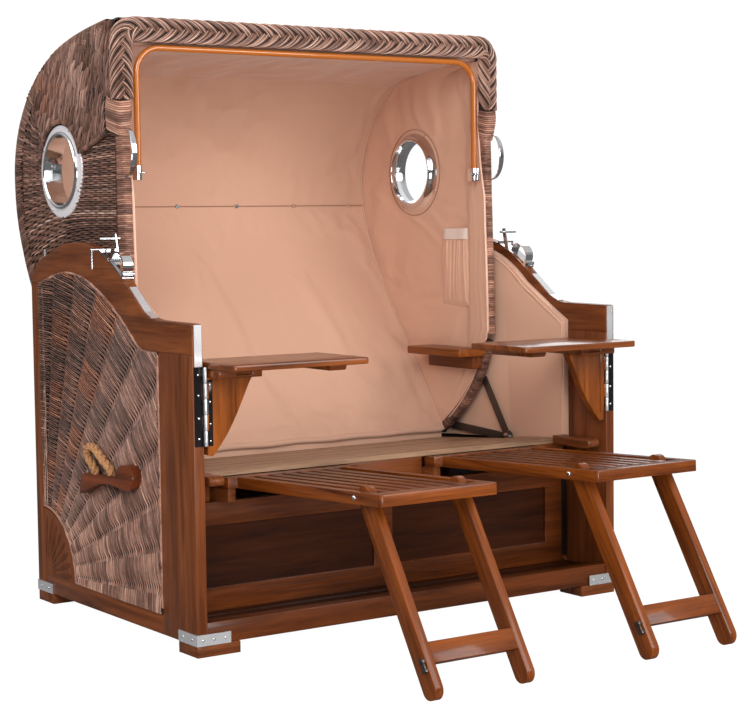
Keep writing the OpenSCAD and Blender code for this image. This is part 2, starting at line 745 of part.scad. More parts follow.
// Lock carriages ride on the arc of the top rails and carry a pull handle each
lock_w = 32;
lock_t = 4;
lock_low = 127.5;
lock_high = 108.5;
lock_r = rail_r + gap;
lock_x = half_w - frame_t / 2 - lock_w / 2;
ear_t = 2.7;
eye_r = 4.5;
handle_pin_r = 2;
handle_at = 121.5;
strap_at = 115;
handle_long = 36;
handle_high = 38;
band_t = 3.5;
hook_r = 3;
hook_out = 52;
hook_down = 48;
strap_top = [rail_c[0] - 173, 991];
function on_rail(r, a) = rail_c + r * [cos(a), sin(a)];
// The handle's own plane: along the rail and away from it, at the middle of the handle
module on_plate() {
  c = on_rail(lock_r + lock_t + gap, handle_at);
  translate([lock_x, c[0], c[1]]) rotate([handle_at - 90, 0, 0]) children();
}
module lock_carriage() {
  hook = on_rail(lock_r + lock_t + hook_r - 0.5, lock_high + 0.6);
  strap_foot = [on_rail(lock_r + 1, strap_at + 1.2), on_rail(lock_r + 1, strap_at - 1.2)];
  translate([lock_x, rail_c[0], rail_c[1]]) rotate([90, 0, 90]) rotate([0, 0, lock_high])
    rotate_extrude(angle = lock_low - lock_high, $fn = 360) translate([lock_r, 0]) square([lock_t, lock_w]);
  // Strap towards the hood with its cross pin
  slab(lock_x, band_t)
    polygon([strap_foot[0], strap_foot[1], strap_top + [5, 3], strap_top + [-6, 5]]);
  rod_x(lock_x - 12, strap_top[0] - 1, strap_top[1] - 6, hook_r, hook_out + 4);
  // Bent rod over the outside of the rail
  translate([0, hook[0], hook[1]]) {
    rod_x(lock_x + 2, 0, 0, hook_r, hook_out);
    translate([lock_x + 2 + hook_out, 0, 0]) sphere(r = hook_r);
    translate([lock_x + 2 + hook_out, 0, -hook_down]) cylinder(r = hook_r, h = hook_down);
  }
  // Ears and pin of the pull handle
  on_plate() {
    for (x = [0, lock_w - ear_t])
      translate([x, -handle_long - 3, 0]) slab(0, ear_t) {
        translate([-eye_r, -band_t]) square([2 * eye_r, band_t + eye_r]);
        translate([0, eye_r]) circle(r = eye_r);
      }
    rod_x(0, -handle_long - 3, eye_r, handle_pin_r, lock_w);
  }
}
// A bent band: flat along the plate, arched over it, with an eye at its lower end
module lock_handle() {
  on_plate() slab(ear_t + gap, lock_w - 2 * ear_t - 2 * gap)
    difference() {
      union() {
        difference() {
          arch(handle_long, handle_high, 0);
          arch(handle_long - band_t, handle_high - band_t, band_t);
        }
        translate([-handle_long - 3, eye_r]) circle(r = eye_r);
      }
      translate([-handle_long - 3, eye_r]) circle(r = handle_pin_r + pin_play);
    }
}
module arch(a, h, base) {
  half = bez([a, base], [a + 2, h * 0.8], [a * 0.5, h], [0, h], 8);
  polygon(concat([[a, base]], half, reversed([for (p = half) if (p[0] > 0.01) [-p[0], p[1]]]), [[-a, base]]));
}
module left_lock_carriage() { place() color(metal) mirror([1, 0, 0]) lock_carriage(); }
module right_lock_carriage() { place() color(metal) lock_carriage(); }
module left_lock_handle() { place() color(metal) mirror([1, 0, 0]) lock_handle(); }
module right_lock_handle() { place() color(metal) lock_handle(); }

// Swing tables on upright hinges at the front posts
hinge_x = inner_w - 2;
hinge_y = -6;
knuckle_r = 4;
hinge_pin_r = 2;
leaf_t = 2;
leaf_w = 22;
hinge_low = 500;
hinge_high = 686;
knuckles = 5;
table_in = hinge_x - 5 - table_len;
table_out = hinge_x - 5;
table_front = -129;
table_low = table_z - table_t;
block_h = 21;
bracket_top = table_low - block_h;
module knuckle_row(first) {
  pitch = (hinge_high - hinge_low) / knuckles;
  for (i = [first : 2 : knuckles - 1])
    translate([hinge_x, hinge_y, hinge_low + i * pitch]) difference() {
      cylinder(r = knuckle_r, h = pitch - gap);
      translate([0, 0, -1]) cylinder(r = hinge_pin_r + (first == 1 ? pin_play : 0), h = pitch + 2);
    }
}
module leaf_tabs(first, x0, x1) {
  pitch = (hinge_high - hinge_low) / knuckles;
  for (i = [first : 2 : knuckles - 1])
    block([x0, hinge_y + 1, hinge_low + i * pitch], [x1, hinge_y + 1 + leaf_t, hinge_low + (i + 1) * pitch - gap]);
}
module post_leaf() {
  knuckle_row(0);
  translate([hinge_x, hinge_y, hinge_low]) cylinder(r = hinge_pin_r, h = hinge_high - hinge_low);
  leaf_tabs(0, hinge_x + knuckle_r - 1, hinge_x + 8);
  block([hinge_x + 5, -leaf_t, hinge_low], [hinge_x + 5 + leaf_w, 0, hinge_high]);
  for (i = [0 : 2 : knuckles - 1])
    let (pitch = (hinge_high - hinge_low) / knuckles)
      block([hinge_x + 5, hinge_y + 1, hinge_low + i * pitch], [hinge_x + 8, 0, hinge_low + (i + 1) * pitch - gap]);
}
module table_hinge_leaves() { place() color(metal) both() post_leaf(); }
module table_bracket() {
  x0 = hinge_x - 8;
  low = bracket_top - bracket_h;
  color(wood) translate([0, bracket_t - 1, 0]) rotate([90, 0, 0]) linear_extrude(bracket_t)
    polygon(concat(
      [[x0, low], [x0, bracket_top - gap], [x0 - 124, bracket_top - gap]],
      bez([x0 - 124, bracket_top - gap], [x0 - 104, bracket_top - 24], [x0 - 78, bracket_top - 118], [x0 - 12, low - 3], 9)));
  color(metal) {
    knuckle_row(1);
    leaf_tabs(1, hinge_x - 9, hinge_x - knuckle_r + 1);
    for (i = [1 : 2 : knuckles - 1])
      let (pitch = (hinge_high - hinge_low) / knuckles)
        block([hinge_x - 9, hinge_y + 1, hinge_low + i * pitch], [hinge_x - 8, -1, hinge_low + (i + 1) * pitch - gap]);
    block([hinge_x - 8 - 12, -1 - leaf_t, hinge_low], [hinge_x - 8, -1, hinge_high - 30]);
  }
}
module table_top() {
  color(wood) {
    translate([table_in, table_front, table_low]) table_board();
    difference() {
      block([table_out - 124, table_front + 78, bracket_top], [table_out - 6, table_front + table_depth - 12, table_low - gap]);
      block([table_out - 96, table_front + 77, bracket_top + 6], [table_out - 56, table_front + 84, bracket_top + 14]);
    }
    slab(table_in + 46, 48)
      polygon([[table_front + 28, table_low - gap], [table_front + 34, table_low - 14], [table_front + table_depth - 34, table_low - 14],
        [table_front + table_depth - 22, table_low - gap]]);
  }
}
module table_board() {
  r = 10;
  linear_extrude(table_t) {
    translate([r, 0]) square([table_len - 2 * r, table_depth]);
    translate([0, r]) square([table_len, table_depth - 2 * r]);
    for (x = [r, table_len - r], y = [r, table_depth - r]) translate([x, y]) circle(r = r);
  }
}
module left_table_top() { place() mirror([1, 0, 0]) table_top(); }
module right_table_top() { place() table_top(); }
module left_table_bracket() { place() mirror([1, 0, 0]) table_bracket(); }
module right_table_bracket() { place() table_bracket(); }

// Footrests, drawn flat in their own frame and then tilted about their rear top edge
bolt_from_front = 104;
bolt_r = 4;
bolt_drop = 13;
front_rail = 46;
module tilted() {
  translate([0, rest_rear, rest_rear_z]) rotate([-rest_tilt, 0, 0]) children();
}
bolt_y = rest_rear - (rest_len - bolt_from_front) * cos(rest_tilt) - bolt_drop * sin(rest_tilt);
bolt_z = rest_rear_z + (rest_len - bolt_from_front) * sin(rest_tilt) - bolt_drop * cos(rest_tilt);
slat_in = rest_rail + leg_w + 2 * leg_gap;
module footrest_frame() {
  color(wood) {
    tilted() {
      for (x = [rest_in, rest_out - rest_rail])
        difference() {
          block([x, -rest_len + front_rail - 1, -rest_t], [x + rest_rail, -bar_d, 0]);
          rod_x(x - 1, -rest_len + bolt_from_front, -bolt_drop, bolt_r + pin_play, rest_rail + 2);
        }
      front_bar();
    }
    translate([0, rest_rear, rest_rear_z]) rotate([-slide_slope, 0, 0])
      block([rest_in - bar_over, -bar_d - 1, -rest_t], [rest_out + bar_over, 0, 0]);
  }
  color(metal) tilted()
    for (x = [rest_in - 2, rest_out - rest_rail - leg_w - leg_gap])
      rod_x(x, -rest_len + bolt_from_front, -bolt_drop, bolt_r, rest_rail + leg_w + leg_gap + 2);
}
module front_bar() {
  r = 9;
  translate([rest_in, -rest_len, -rest_t]) linear_extrude(rest_t) {
    translate([r, 0]) square([rest_w - 2 * r, front_rail]);
    translate([0, r]) square([rest_w, front_rail - r]);
    for (x = [r, rest_w - r]) translate([x, r]) circle(r = r);
  }
}
module footrest_slats() {
  room = rest_w - 2 * slat_in;
  slat_w = 24;
  slat_t = 16;
  pitch = (room - slat_w) / (rest_slats - 1);
  color(wood) tilted()
    for (i = [0 : rest_slats - 1])
      block([rest_in + slat_in + i * pitch, -rest_len + front_rail + gap, -1 - slat_t],
            [rest_in + slat_in + i * pitch + slat_w, -bar_d - 1 - 3 * gap, -1]);
}
leg_foot = [-leg_reach, leg_r];
leg_dir = unit(leg_foot - [bolt_y, bolt_z]);
leg_len = norm(leg_foot - [bolt_y, bolt_z]);
leg_ang = atan2(leg_dir[1], leg_dir[0]);
cross_at = leg_len - 74;
cross_t = 17;
module leg(x) {
  translate([x, bolt_y, bolt_z]) rotate([leg_ang, 0, 0]) rotate([90, 0, 90]) linear_extrude(leg_w)
    difference() {
      union() {
        translate([0, -leg_r]) square([leg_len, leg_d]);
        circle(r = leg_r);
        translate([leg_len, 0]) circle(r = leg_r);
      }
      circle(r = bolt_r + pin_play);
    }
}
module footrest_legs() {
  a = rest_in + rest_rail + leg_gap;
  b = rest_out - rest_rail - leg_gap - leg_w;
  color(wood) {
    leg(a);
    leg(b);
    translate([a + leg_w, bolt_y, bolt_z]) rotate([leg_ang, 0, 0])
      block([0, cross_at - 24, -leg_r], [b - a - leg_w, cross_at + 24, -leg_r + cross_t]);
  }
  color("dimgray") translate([a - 1.5, bolt_y, bolt_z]) rotate([leg_ang, 0, 0])
    block([0, cross_at - 10, -14], [1.5, cross_at + 16, 14]);
}
module left_footrest_frame() { place() mirror([1, 0, 0]) footrest_frame(); }
module right_footrest_frame() { place() footrest_frame(); }
module left_footrest_slats() { place() mirror([1, 0, 0]) footrest_slats(); }
module right_footrest_slats() { place() footrest_slats(); }
module left_footrest_legs() { place() mirror([1, 0, 0]) footrest_legs(); }
module right_footrest_legs() { place() footrest_legs(); }

left_front_post();
right_front_post();
rear_stiles();
bottom_rails();
left_top_rail();
right_top_rail();
left_wicker_panel();
right_wicker_panel();
sunburst_corners();
side_lining_boards();
front_floor_rail();
back_frame();
back_wicker_panel();
floor_slats();
kickboard_frame();
kickboard_panel();
seat_slats();
seat_frame();
footrest_runners();
feet();
corner_plates();
edge_strips();
rope_boards();
left_rope();
right_rope();
table_hinge_leaves();
hood_pivot_pins();
left_hood_side();
right_hood_side();
hood_back_shell();
front_plait();
front_wound_edges();
hood_lower_edging();
back_lining();
hood_side_linings();
porthole_outer_rings();
porthole_inner_rings();
porthole_panes();
hood_armrests();
armrest_battens();
grab_handles();
hinge_arms();
lining_pockets();
lining_buttons();
bow_brackets();
awning_bow();
left_lock_carriage();
left_lock_handle();
right_lock_carriage();
right_lock_handle();
left_table_top();
left_table_bracket();
right_table_top();
right_table_bracket();
left_footrest_frame();
left_footrest_slats();
left_footrest_legs();
right_footrest_frame();
right_footrest_slats();
right_footrest_legs();
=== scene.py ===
import json
import math
import random

import bpy
from mathutils import Matrix, Vector, noise


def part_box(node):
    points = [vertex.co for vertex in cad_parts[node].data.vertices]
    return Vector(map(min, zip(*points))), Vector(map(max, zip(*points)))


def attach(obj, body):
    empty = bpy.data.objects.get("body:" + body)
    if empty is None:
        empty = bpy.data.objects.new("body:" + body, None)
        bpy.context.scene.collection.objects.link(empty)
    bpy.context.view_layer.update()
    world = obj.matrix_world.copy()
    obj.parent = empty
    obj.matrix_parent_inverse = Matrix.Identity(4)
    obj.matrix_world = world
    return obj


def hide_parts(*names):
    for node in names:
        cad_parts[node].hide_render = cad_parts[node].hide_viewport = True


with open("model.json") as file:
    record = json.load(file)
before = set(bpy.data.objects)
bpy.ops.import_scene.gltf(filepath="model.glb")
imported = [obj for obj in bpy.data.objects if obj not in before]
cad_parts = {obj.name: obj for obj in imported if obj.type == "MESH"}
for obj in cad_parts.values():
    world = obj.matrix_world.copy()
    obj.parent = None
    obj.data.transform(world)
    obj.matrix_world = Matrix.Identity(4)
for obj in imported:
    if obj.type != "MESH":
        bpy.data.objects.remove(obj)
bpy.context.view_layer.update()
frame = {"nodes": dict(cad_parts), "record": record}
nodes = frame["nodes"]
midY = 0.220  # the base's front lies this far before the origin
bothSides = (("left", -1), ("right", 1))
sideways = Vector((1, 0, 0))

print("stage: camera and light")


def addNode(tree, kind, sockets={}, **values):
    # sockets takes values, or outputs of other nodes to link
    made = tree.nodes.new(kind)
    for key, value in values.items():
        setattr(made, key, value)
    fill(tree, made, sockets)
    return made


def fill(tree, node, sockets):
    for key, value in sockets.items():
        if isinstance(value, bpy.types.NodeSocket):
            tree.links.new(value, node.inputs[key])
        else:
            node.inputs[key].default_value = value


def mathOf(tree, operation, *values):
    return addNode(tree, "ShaderNodeMath", dict(enumerate(values)), operation=operation).outputs[0]


def noiseOf(tree, vector, scale, detail, more={}, **values):
    return addNode(tree, "ShaderNodeTexNoise", {"Vector": vector, "Scale": scale, "Detail": detail, **more},
                   **values).outputs[0]


def rangeOf(tree, value, more):
    return addNode(tree, "ShaderNodeMapRange", {"Value": value, **more}).outputs[0]


def scaled(tree, vector, scale):
    return addNode(tree, "ShaderNodeMapping", {"Vector": vector, "Scale": scale}).outputs[0]


def colourMix(tree, factor, a, b):
    return addNode(tree, "ShaderNodeMix", {"Factor": factor, 6: a, 7: b}, data_type="RGBA").outputs[2]


def shaderMix(tree, factor, a, b):
    return addNode(tree, "ShaderNodeMixShader", {0: factor, 1: a, 2: b}).outputs[0]


def rayKinds(tree):
    path = addNode(tree, "ShaderNodeLightPath").outputs
    return mathOf(tree, "MAXIMUM", path["Is Camera Ray"], path["Is Transmission Ray"]), path["Is Glossy Ray"]


def placed(name, data):
    made = bpy.data.objects.new(name, data)
    bpy.context.scene.collection.objects.link(made)
    return made


camera = {"place": (-2.75264, -4.03670, 1.02089), "turn": 0.601605, "tilt": 0.074084, "roll": -0.0119657,
          "lens": 89.71}


def addCamera(s):
    turn, tilt, roll = s["turn"], s["tilt"], s["roll"]
    ahead = Vector((math.sin(turn) * math.cos(tilt), math.cos(turn) * math.cos(tilt), -math.sin(tilt)))
    level = Vector((math.cos(turn), -math.sin(turn), 0))
    up = level.cross(ahead)
    right = math.cos(roll) * level + math.sin(roll) * up
    top = math.cos(roll) * up - math.sin(roll) * level
    data = bpy.data.cameras.new("photoCamera")
    data.lens = s["lens"]
    data.sensor_width = 36
    data.sensor_fit = "HORIZONTAL"
    data.clip_end = 50
    cam = placed("photoCamera", data)
    cam.matrix_world = Matrix.Translation(s["place"]) @ Matrix((right, top, -ahead)).transposed().to_4x4()
    bpy.context.scene.camera = cam


addCamera(camera)
bpy.context.scene.view_settings.view_transform = "Standard"

studio = {
    "skyLight": 0.70,
    "paper": 1.35,
    "mirror": {"From Min": 0.05, "From Max": 0.60, "To Min": 0.10, "To Max": 0.75},
    "lamps": [  # place, aim, size, watts
        ((-3.0, -4.2, 3.2), (0.0, 0.1, 0.7), 2.6, 170),
        ((2.0, -4.6, 2.4), (0.0, 0.2, 0.9), 2.2, 118),
        ((-4.2, 1.6, 3.0), (0.0, 0.2, 0.8), 2.2, 60),
        ((3.6, 2.8, 3.0), (0.0, 0.2, 0.8), 2.4, 45),
        ((-0.8, -3.0, 0.22), (0.1, 0.5, 1.52), 1.4, 60),
    ],
}


def addStudio(s):
    world = bpy.data.worlds.new("studioWorld")
    bpy.context.scene.world = world
    world.use_nodes = True
    tree = world.node_tree
    tree.nodes.clear()
    seen, glossy = rayKinds(tree)
    coords = addNode(tree, "ShaderNodeTexCoord").outputs["Generated"]
    height = addNode(tree, "ShaderNodeSeparateXYZ", {0: coords}).outputs["Z"]
    strengths = s["skyLight"], rangeOf(tree, height, s["mirror"]), s["paper"]
    lit, mirror, white = (
        addNode(tree, "ShaderNodeBackground", {"Strength": strength}).outputs[0] for strength in strengths)
    mix = shaderMix(tree, seen, shaderMix(tree, glossy, lit, mirror), white)
    addNode(tree, "ShaderNodeOutputWorld", {"Surface": mix})
    for number, (place, aim, size, watts) in enumerate(s["lamps"]):
        data = bpy.data.lights.new("lamp%d" % number, "AREA")
        data.size = size
        data.energy = watts
        lamp = placed("lamp%d" % number, data)
        lamp.location = place
        lamp.rotation_euler = (Vector(aim) - Vector(place)).to_track_quat("-Z", "Y").to_euler()


addStudio(studio)

print("stage: materials")


def rampOf(tree, value, stops):
    made = addNode(tree, "ShaderNodeValToRGB", {0: value})
    points = made.color_ramp.elements
    while len(points) < len(stops):
        points.new(0.5)
    for point, (at, colour) in zip(points, stops):
        point.position = at
        point.color = (*colour, 1)
    return made.outputs[0]


def newGroup(name, given, made):
    tree = bpy.data.node_groups.new(name, "ShaderNodeTree")
    for side, sockets in (("INPUT", given), ("OUTPUT", made)):
        for key, kind in sockets.items():
            tree.interface.new_socket(name=key, in_out=side, socket_type="NodeSocket" + kind)
    return tree, addNode(tree, "NodeGroupInput").outputs, addNode(tree, "NodeGroupOutput")


def makeGrainGroup():
    tree, given, end = newGroup("woodGrain", {"Vector": "Vector", "Dark": "Color", "Light": "Color"},
                                {"Color": "Color", "Height": "Float", "Rough": "Float"})
    figure = noiseOf(tree, scaled(tree, given["Vector"], (1, 14, 14)), 2.4, 7,
                     {"Roughness": 0.62, "Distortion": 0.6})
    pores = noiseOf(tree, scaled(tree, given["Vector"], (6, 260, 260)), 1.6, 2)
    mixed = mathOf(tree, "MULTIPLY_ADD", pores, 0.28, figure)
    spread = rangeOf(tree, mixed, {"From Min": 0.42, "From Max": 0.86})
    fill(tree, end, {"Color": colourMix(tree, spread, given["Dark"], given["Light"]), "Height": pores,
                     "Rough": rangeOf(tree, pores, {"To Min": 0.30, "To Max": 0.42})})
    return tree


grainGroup = makeGrainGroup()


def shaderOf(name):
    made = bpy.data.materials.new(name)
    made.use_nodes = True
    tree = made.node_tree
    return made, tree, tree.nodes["Principled BSDF"]


def objectPlace(tree, turn=(0, 0, 0)):
    coords = addNode(tree, "ShaderNodeTexCoord").outputs["Object"]
    return addNode(tree, "ShaderNodeMapping", {"Vector": coords, "Rotation": turn}).outputs[0]


def bumpOf(tree, height, strength, distance):
    sockets = {"Strength": strength, "Distance": distance, "Height": height}
    return addNode(tree, "ShaderNodeBump", sockets).outputs[0]


woodLooks = {  # the grain's dark and light colour, and the gloss
    # the dark look is painted shade: mahogany darkened for the floor slats and kickboard inside the base
    "dark": ((0.012, 0.003, 0.001, 1), (0.052, 0.012, 0.003, 1), 0.10),
    "red": ((0.058, 0.014, 0.004, 1), (0.225, 0.062, 0.017, 1), 0.14),
    "rope": ((0.045, 0.009, 0.003, 1), (0.210, 0.048, 0.013, 1), 0.28),
    # the deep look is painted shade: darker mahogany for the floor rail and kickboard frame inside the base,
    # and for the sunburst petals' grooves
    "deep": ((0.035, 0.008, 0.002, 1), (0.150, 0.036, 0.007, 1), 0.28),
    "warm": ((0.070, 0.015, 0.003, 1), (0.320, 0.085, 0.012, 1), 0.28),
    "table": ((0.050, 0.011, 0.003, 1), (0.240, 0.062, 0.012, 1), 0.55),
    "rest": ((0.038, 0.007, 0.002, 1), (0.225, 0.053, 0.006, 1), 0.28),
    "slat": ((0.038, 0.008, 0.002, 1), (0.170, 0.040, 0.006, 1), 0.28),
    "seat": ((0.150, 0.082, 0.046, 1), (0.440, 0.260, 0.158, 1), 0.03),
}
quarter = math.radians(90)
legLean = 31.7  # of the footrests' legs from upright, in degrees
grainTurns = {"x": (0, 0, 0), "y": (0, 0, -quarter), "z": (0, quarter, 0),
              "leg": (math.radians(legLean), quarter, 0)}
woodMade = {}


def woodMaterial(look, axis):
    key = look + axis.upper()
    if key not in woodMade:
        made, tree, shader = shaderOf("mahogany" + key.capitalize())
        dark, light, coat = woodLooks[look]
        grain = addNode(tree, "ShaderNodeGroup", node_tree=grainGroup)
        fill(tree, grain, {"Dark": dark, "Light": light, "Vector": objectPlace(tree, grainTurns[axis])})
        fill(tree, shader, {
            "Base Color": grain.outputs["Color"], "Roughness": grain.outputs["Rough"],
            "Specular IOR Level": 0.14, "Coat Weight": coat, "Coat Roughness": 0.12,
            "Normal": bumpOf(tree, grain.outputs["Height"], 0.12, 0.0006)})
        woodMade[key] = made
    return woodMade[key]


def plainMaterial(name, colour, rough, metal=0.0, coat=0.0):
    made, tree, shader = shaderOf(name)
    speckle = noiseOf(tree, objectPlace(tree), 9, 2)
    fill(tree, shader, {"Base Color": (*colour, 1), "Metallic": metal, "Coat Weight": coat,
                        "Roughness": rangeOf(tree, speckle, {"To Min": rough * 0.8, "To Max": rough * 1.3})})
    return made


chrome = plainMaterial("polishedChrome", (0.78, 0.78, 0.80), 0.10, 1.0)
steel = plainMaterial("brushedSteel", (0.74, 0.73, 0.74), 0.26, 0.65)
blackPlate = plainMaterial("polishedPlate", (0.030, 0.026, 0.028), 0.09, 0.75)
darkSteel = plainMaterial("darkSteel", (0.085, 0.070, 0.064), 0.30, 0.8)
bowPaint = plainMaterial("bowVarnish", (0.42, 0.115, 0.012), 0.18, 0.0, 0.6)
satin = plainMaterial("satinFlange", (0.84, 0.79, 0.81), 0.30, 0.30)
glass, glassTree, glassShader = shaderOf("portholeGlass")
fill(glassTree, glassShader, {
    "Base Color": (0.95, 0.97, 0.97, 1), "Roughness": 0.02, "Transmission Weight": 1, "IOR": 1.1})

caneTones = [(0.18, (0.042, 0.021, 0.015)), (0.42, (0.148, 0.078, 0.058)), (0.60, (0.290, 0.162, 0.125)),
             (0.78, (0.480, 0.300, 0.232)), (1.0, (0.800, 0.570, 0.450))]
rustTones = [(0.18, (0.055, 0.016, 0.007)), (0.42, (0.175, 0.050, 0.019)), (0.60, (0.310, 0.105, 0.042)),
             (0.78, (0.460, 0.195, 0.090)), (1.0, (0.640, 0.350, 0.180))]


def makeCaneGroup():
    # Strand is the place along the strand and its tone, Crown is 1 on its ridge and 0 at its edges; it paints
    # shade on the edges and a highlight on the ridge
    tree, given, end = newGroup(
        "caneStreaks", {"Strand": "Vector", "Shift": "Float", "Rust": "Float", "Crown": "Float"},
        {"Color": "Color", "Height": "Float"})
    own = addNode(tree, "ShaderNodeSeparateXYZ", {0: given["Strand"]}).outputs["Y"]
    streak = noiseOf(tree, scaled(tree, given["Strand"], (24, 900, 1)), 1, 3, noise_dimensions="2D")
    tone = mathOf(tree, "ADD", mathOf(tree, "MULTIPLY_ADD", streak, 0.55, own), given["Shift"])
    hue = colourMix(tree, given["Rust"], rampOf(tree, tone, caneTones), rampOf(tree, tone, rustTones))
    # painted shade and highlight: the colour runs from 0.22 times at a strand's edges to 1.5 times on its ridge
    deep = rangeOf(tree, given["Crown"], {"To Min": 0.22, "To Max": 1.50})
    lit = addNode(tree, "ShaderNodeVectorMath", {0: hue, "Scale": deep}, operation="SCALE")
    fill(tree, end, {"Color": lit.outputs[0], "Height": streak})
    return tree


caneGroup = makeCaneGroup()


def caneMaterial(name, shift):
    made, tree, shader = shaderOf(name)
    streaks = addNode(tree, "ShaderNodeGroup", node_tree=caneGroup)
    strand = addNode(tree, "ShaderNodeUVMap", uv_map="strand").outputs[0]
    fill(tree, streaks, {"Shift": shift, "Strand": strand})
    for key in ("Rust", "Crown"):
        read = addNode(tree, "ShaderNodeAttribute", attribute_name=key.lower())
        fill(tree, streaks, {key: read.outputs["Fac"]})
    fill(tree, shader, {"Base Color": streaks.outputs["Color"], "Roughness": 0.45, "Specular IOR Level": 0.25,
                        "Normal": bumpOf(tree, streaks.outputs["Height"], 0.25, 0.0008)})
    return made


cane = caneMaterial("wovenCane", 0.0)
plaitCane = caneMaterial("plaitedCane", 0.02)
# near-black colour for what lies under the cane: painted shade for the depth of the gaps between strands
caneShade = plainMaterial("caneShade", (0.016, 0.009, 0.007), 0.8)


def makeCloth(name, colour, deep):
    made, tree, shader = shaderOf(name)
    place = objectPlace(tree)
    weave = noiseOf(tree, place, 900, 2)
    fill(tree, shader, {
        "Base Color": colourMix(tree, noiseOf(tree, place, 3.5, 3), (*deep, 1), (*colour, 1)),
        "Roughness": 0.78, "Sheen Weight": 0.25, "Sheen Roughness": 0.5,
        "Normal": bumpOf(tree, weave, 0.15, 0.0005)})
    return made


cloth = makeCloth("liningCloth", (0.580, 0.340, 0.235), (0.540, 0.305, 0.206))
clothSide = makeCloth("sideCloth", (0.680, 0.400, 0.275), (0.640, 0.368, 0.250))
label = makeCloth("pocketHem", (0.78, 0.66, 0.60), (0.70, 0.58, 0.52))
paleCloth = makeCloth("pipingCloth", (0.80, 0.52, 0.40), (0.70, 0.44, 0.33))
seamCloth = makeCloth("seamCloth", (0.34, 0.17, 0.11), (0.30, 0.15, 0.09))


def makeManila():
    made, tree, shader = shaderOf("manilaRope")
    fibres = noiseOf(tree, objectPlace(tree, (0.5, 0.8, 0.2)), 420, 4)
    shades = [(0.28, (0.15, 0.055, 0.018)), (0.5, (0.42, 0.190, 0.070)), (0.78, (0.72, 0.43, 0.21))]
    fill(tree, shader, {"Base Color": rampOf(tree, fibres, shades), "Roughness": 0.85,
                        "Normal": bumpOf(tree, fibres, 0.6, 0.001)})
    return made


manila = makeManila()

print("stage: floor")

floorLook = {"size": 60, "white": 0.55, "bright": 1.1, "seen": 0.9, "mirrored": 0.16}


def addFloor(s):
    bpy.ops.mesh.primitive_plane_add(size=s["size"], location=(0, 0, 0))
    ground = bpy.context.object
    ground.name = "studioFloor"
    made, tree, shader = shaderOf("studioPaper")
    fill(tree, shader, {"Base Color": (s["white"],) * 3 + (1,), "Roughness": 0.9, "Specular IOR Level": 0})
    seen, glossy = rayKinds(tree)
    bright, dim = (
        addNode(tree, "ShaderNodeEmission", {"Strength": s[key]}).outputs[0] for key in ("bright", "mirrored"))
    mix = shaderMix(tree, mathOf(tree, "MULTIPLY", seen, s["seen"]), shader.outputs[0], bright)
    fill(tree, tree.nodes["Material Output"], {"Surface": shaderMix(tree, glossy, mix, dim)})
    ground.data.materials.append(made)


addFloor(floorLook)

print("stage: wood and metal from the frame")


def deselect():
    if bpy.context.object and bpy.context.object.mode == "EDIT":
        bpy.ops.object.mode_set(mode="OBJECT")
    bpy.ops.object.select_all(action="DESELECT")


def choose(obj):
    deselect()
    obj.select_set(True)
    bpy.context.view_layer.objects.active = obj


def editMesh(obj):
    choose(obj)
    bpy.ops.object.mode_set(mode="EDIT")
    bpy.ops.mesh.select_all(action="SELECT")


def outward(obj):
    editMesh(obj)
    bpy.ops.mesh.normals_make_consistent(inside=False)
    bpy.ops.object.mode_set(mode="OBJECT")


def applyAll(obj):
    choose(obj)
    for modifier in list(obj.modifiers):
        bpy.ops.object.modifier_apply(modifier=modifier.name)


def bevelled(obj, width, segments=2, angle=None):
    easing = obj.modifiers.new("easing", "BEVEL")
    easing.width = width
    easing.segments = segments
    if angle:
        easing.limit_method = "ANGLE"
        easing.angle_limit = math.radians(angle)
    applyAll(obj)


def shaped(make, name, stretch=(1, 1, 1), **values):
    # a new basic shape, with its place, turn and size applied
    deselect()
    make(**values)
    made = bpy.context.object
    made.name = name
    made.scale = stretch
    bpy.ops.object.transform_apply(location=True, rotation=True, scale=True)
    return made


def finishPiece(obj, body, covers=(), material=None, smooth=40):
    choose(obj)
    if smooth:
        bpy.ops.object.shade_smooth_by_angle(angle=math.radians(smooth))
    if material:
        obj.data.materials.clear()
        obj.data.materials.append(material)
    deselect()
    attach(obj, body)
    if covers:
        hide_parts(*covers)
    return obj


def eased(node, name, width, segments=2):
    # a welded copy of a CAD node with its edges rounded over
    made = placed(name, nodes[node].data.copy())
    editMesh(made)
    bpy.ops.mesh.remove_doubles(threshold=0.00002)
    bpy.ops.mesh.tris_convert_to_quads(face_threshold=0.01, shape_threshold=3.1)
    bpy.ops.mesh.dissolve_limited(angle_limit=math.radians(0.5))
    bpy.ops.object.mode_set(mode="OBJECT")
    bevelled(made, width, segments, 35)
    return made


bodyOf = {}
for bodyName, members in frame["record"]["behaviour"]["bodies"].items():
    for member in members:
        bodyOf[member] = bodyName

woodPieces = {  # look, grain, edge in mm; a name that starts with _ stands for a left and a right node
    "_front_post": ("red", "z", 1.5), "rear_stiles": ("red", "z", 1.5), "bottom_rails": ("red", "y", 1.5),
    # the floor rail, floor slats and kickboard frame take the darker looks as painted shade inside the base
    "_top_rail": ("red", "y", 2.0), "front_floor_rail": ("deep", "x", 1.5), "back_frame": ("red", "x", 1.5),
    "floor_slats": ("dark", "x", 1.0), "kickboard_frame": ("deep", "x", 1.0), "seat_frame": ("red", "x", 1.0),
    "footrest_runners": ("red", "y", 1.5), "feet": ("red", "x", 1.5), "rope_boards": ("rope", "y", 4.0),
    "hood_armrests": ("warm", "y", 2.5), "armrest_battens": ("red", "y", 1.5),
    "_table_top": ("table", "x", 3.0), "_table_bracket": ("warm", "z", 1.2),
    "_footrest_frame": ("rest", "y", 2.5), "_footrest_slats": ("slat", "y", 1.8),
    "_footrest_legs": ("rest", "leg", 2.0),
}
for name, (look, axis, edge) in woodPieces.items():
    for node in ("left" + name, "right" + name) if name[0] == "_" else (name,):
        made = eased(node, node + "_wood", edge / 1000)
        finishPiece(made, bodyOf[node], [node], woodMaterial(look, axis))

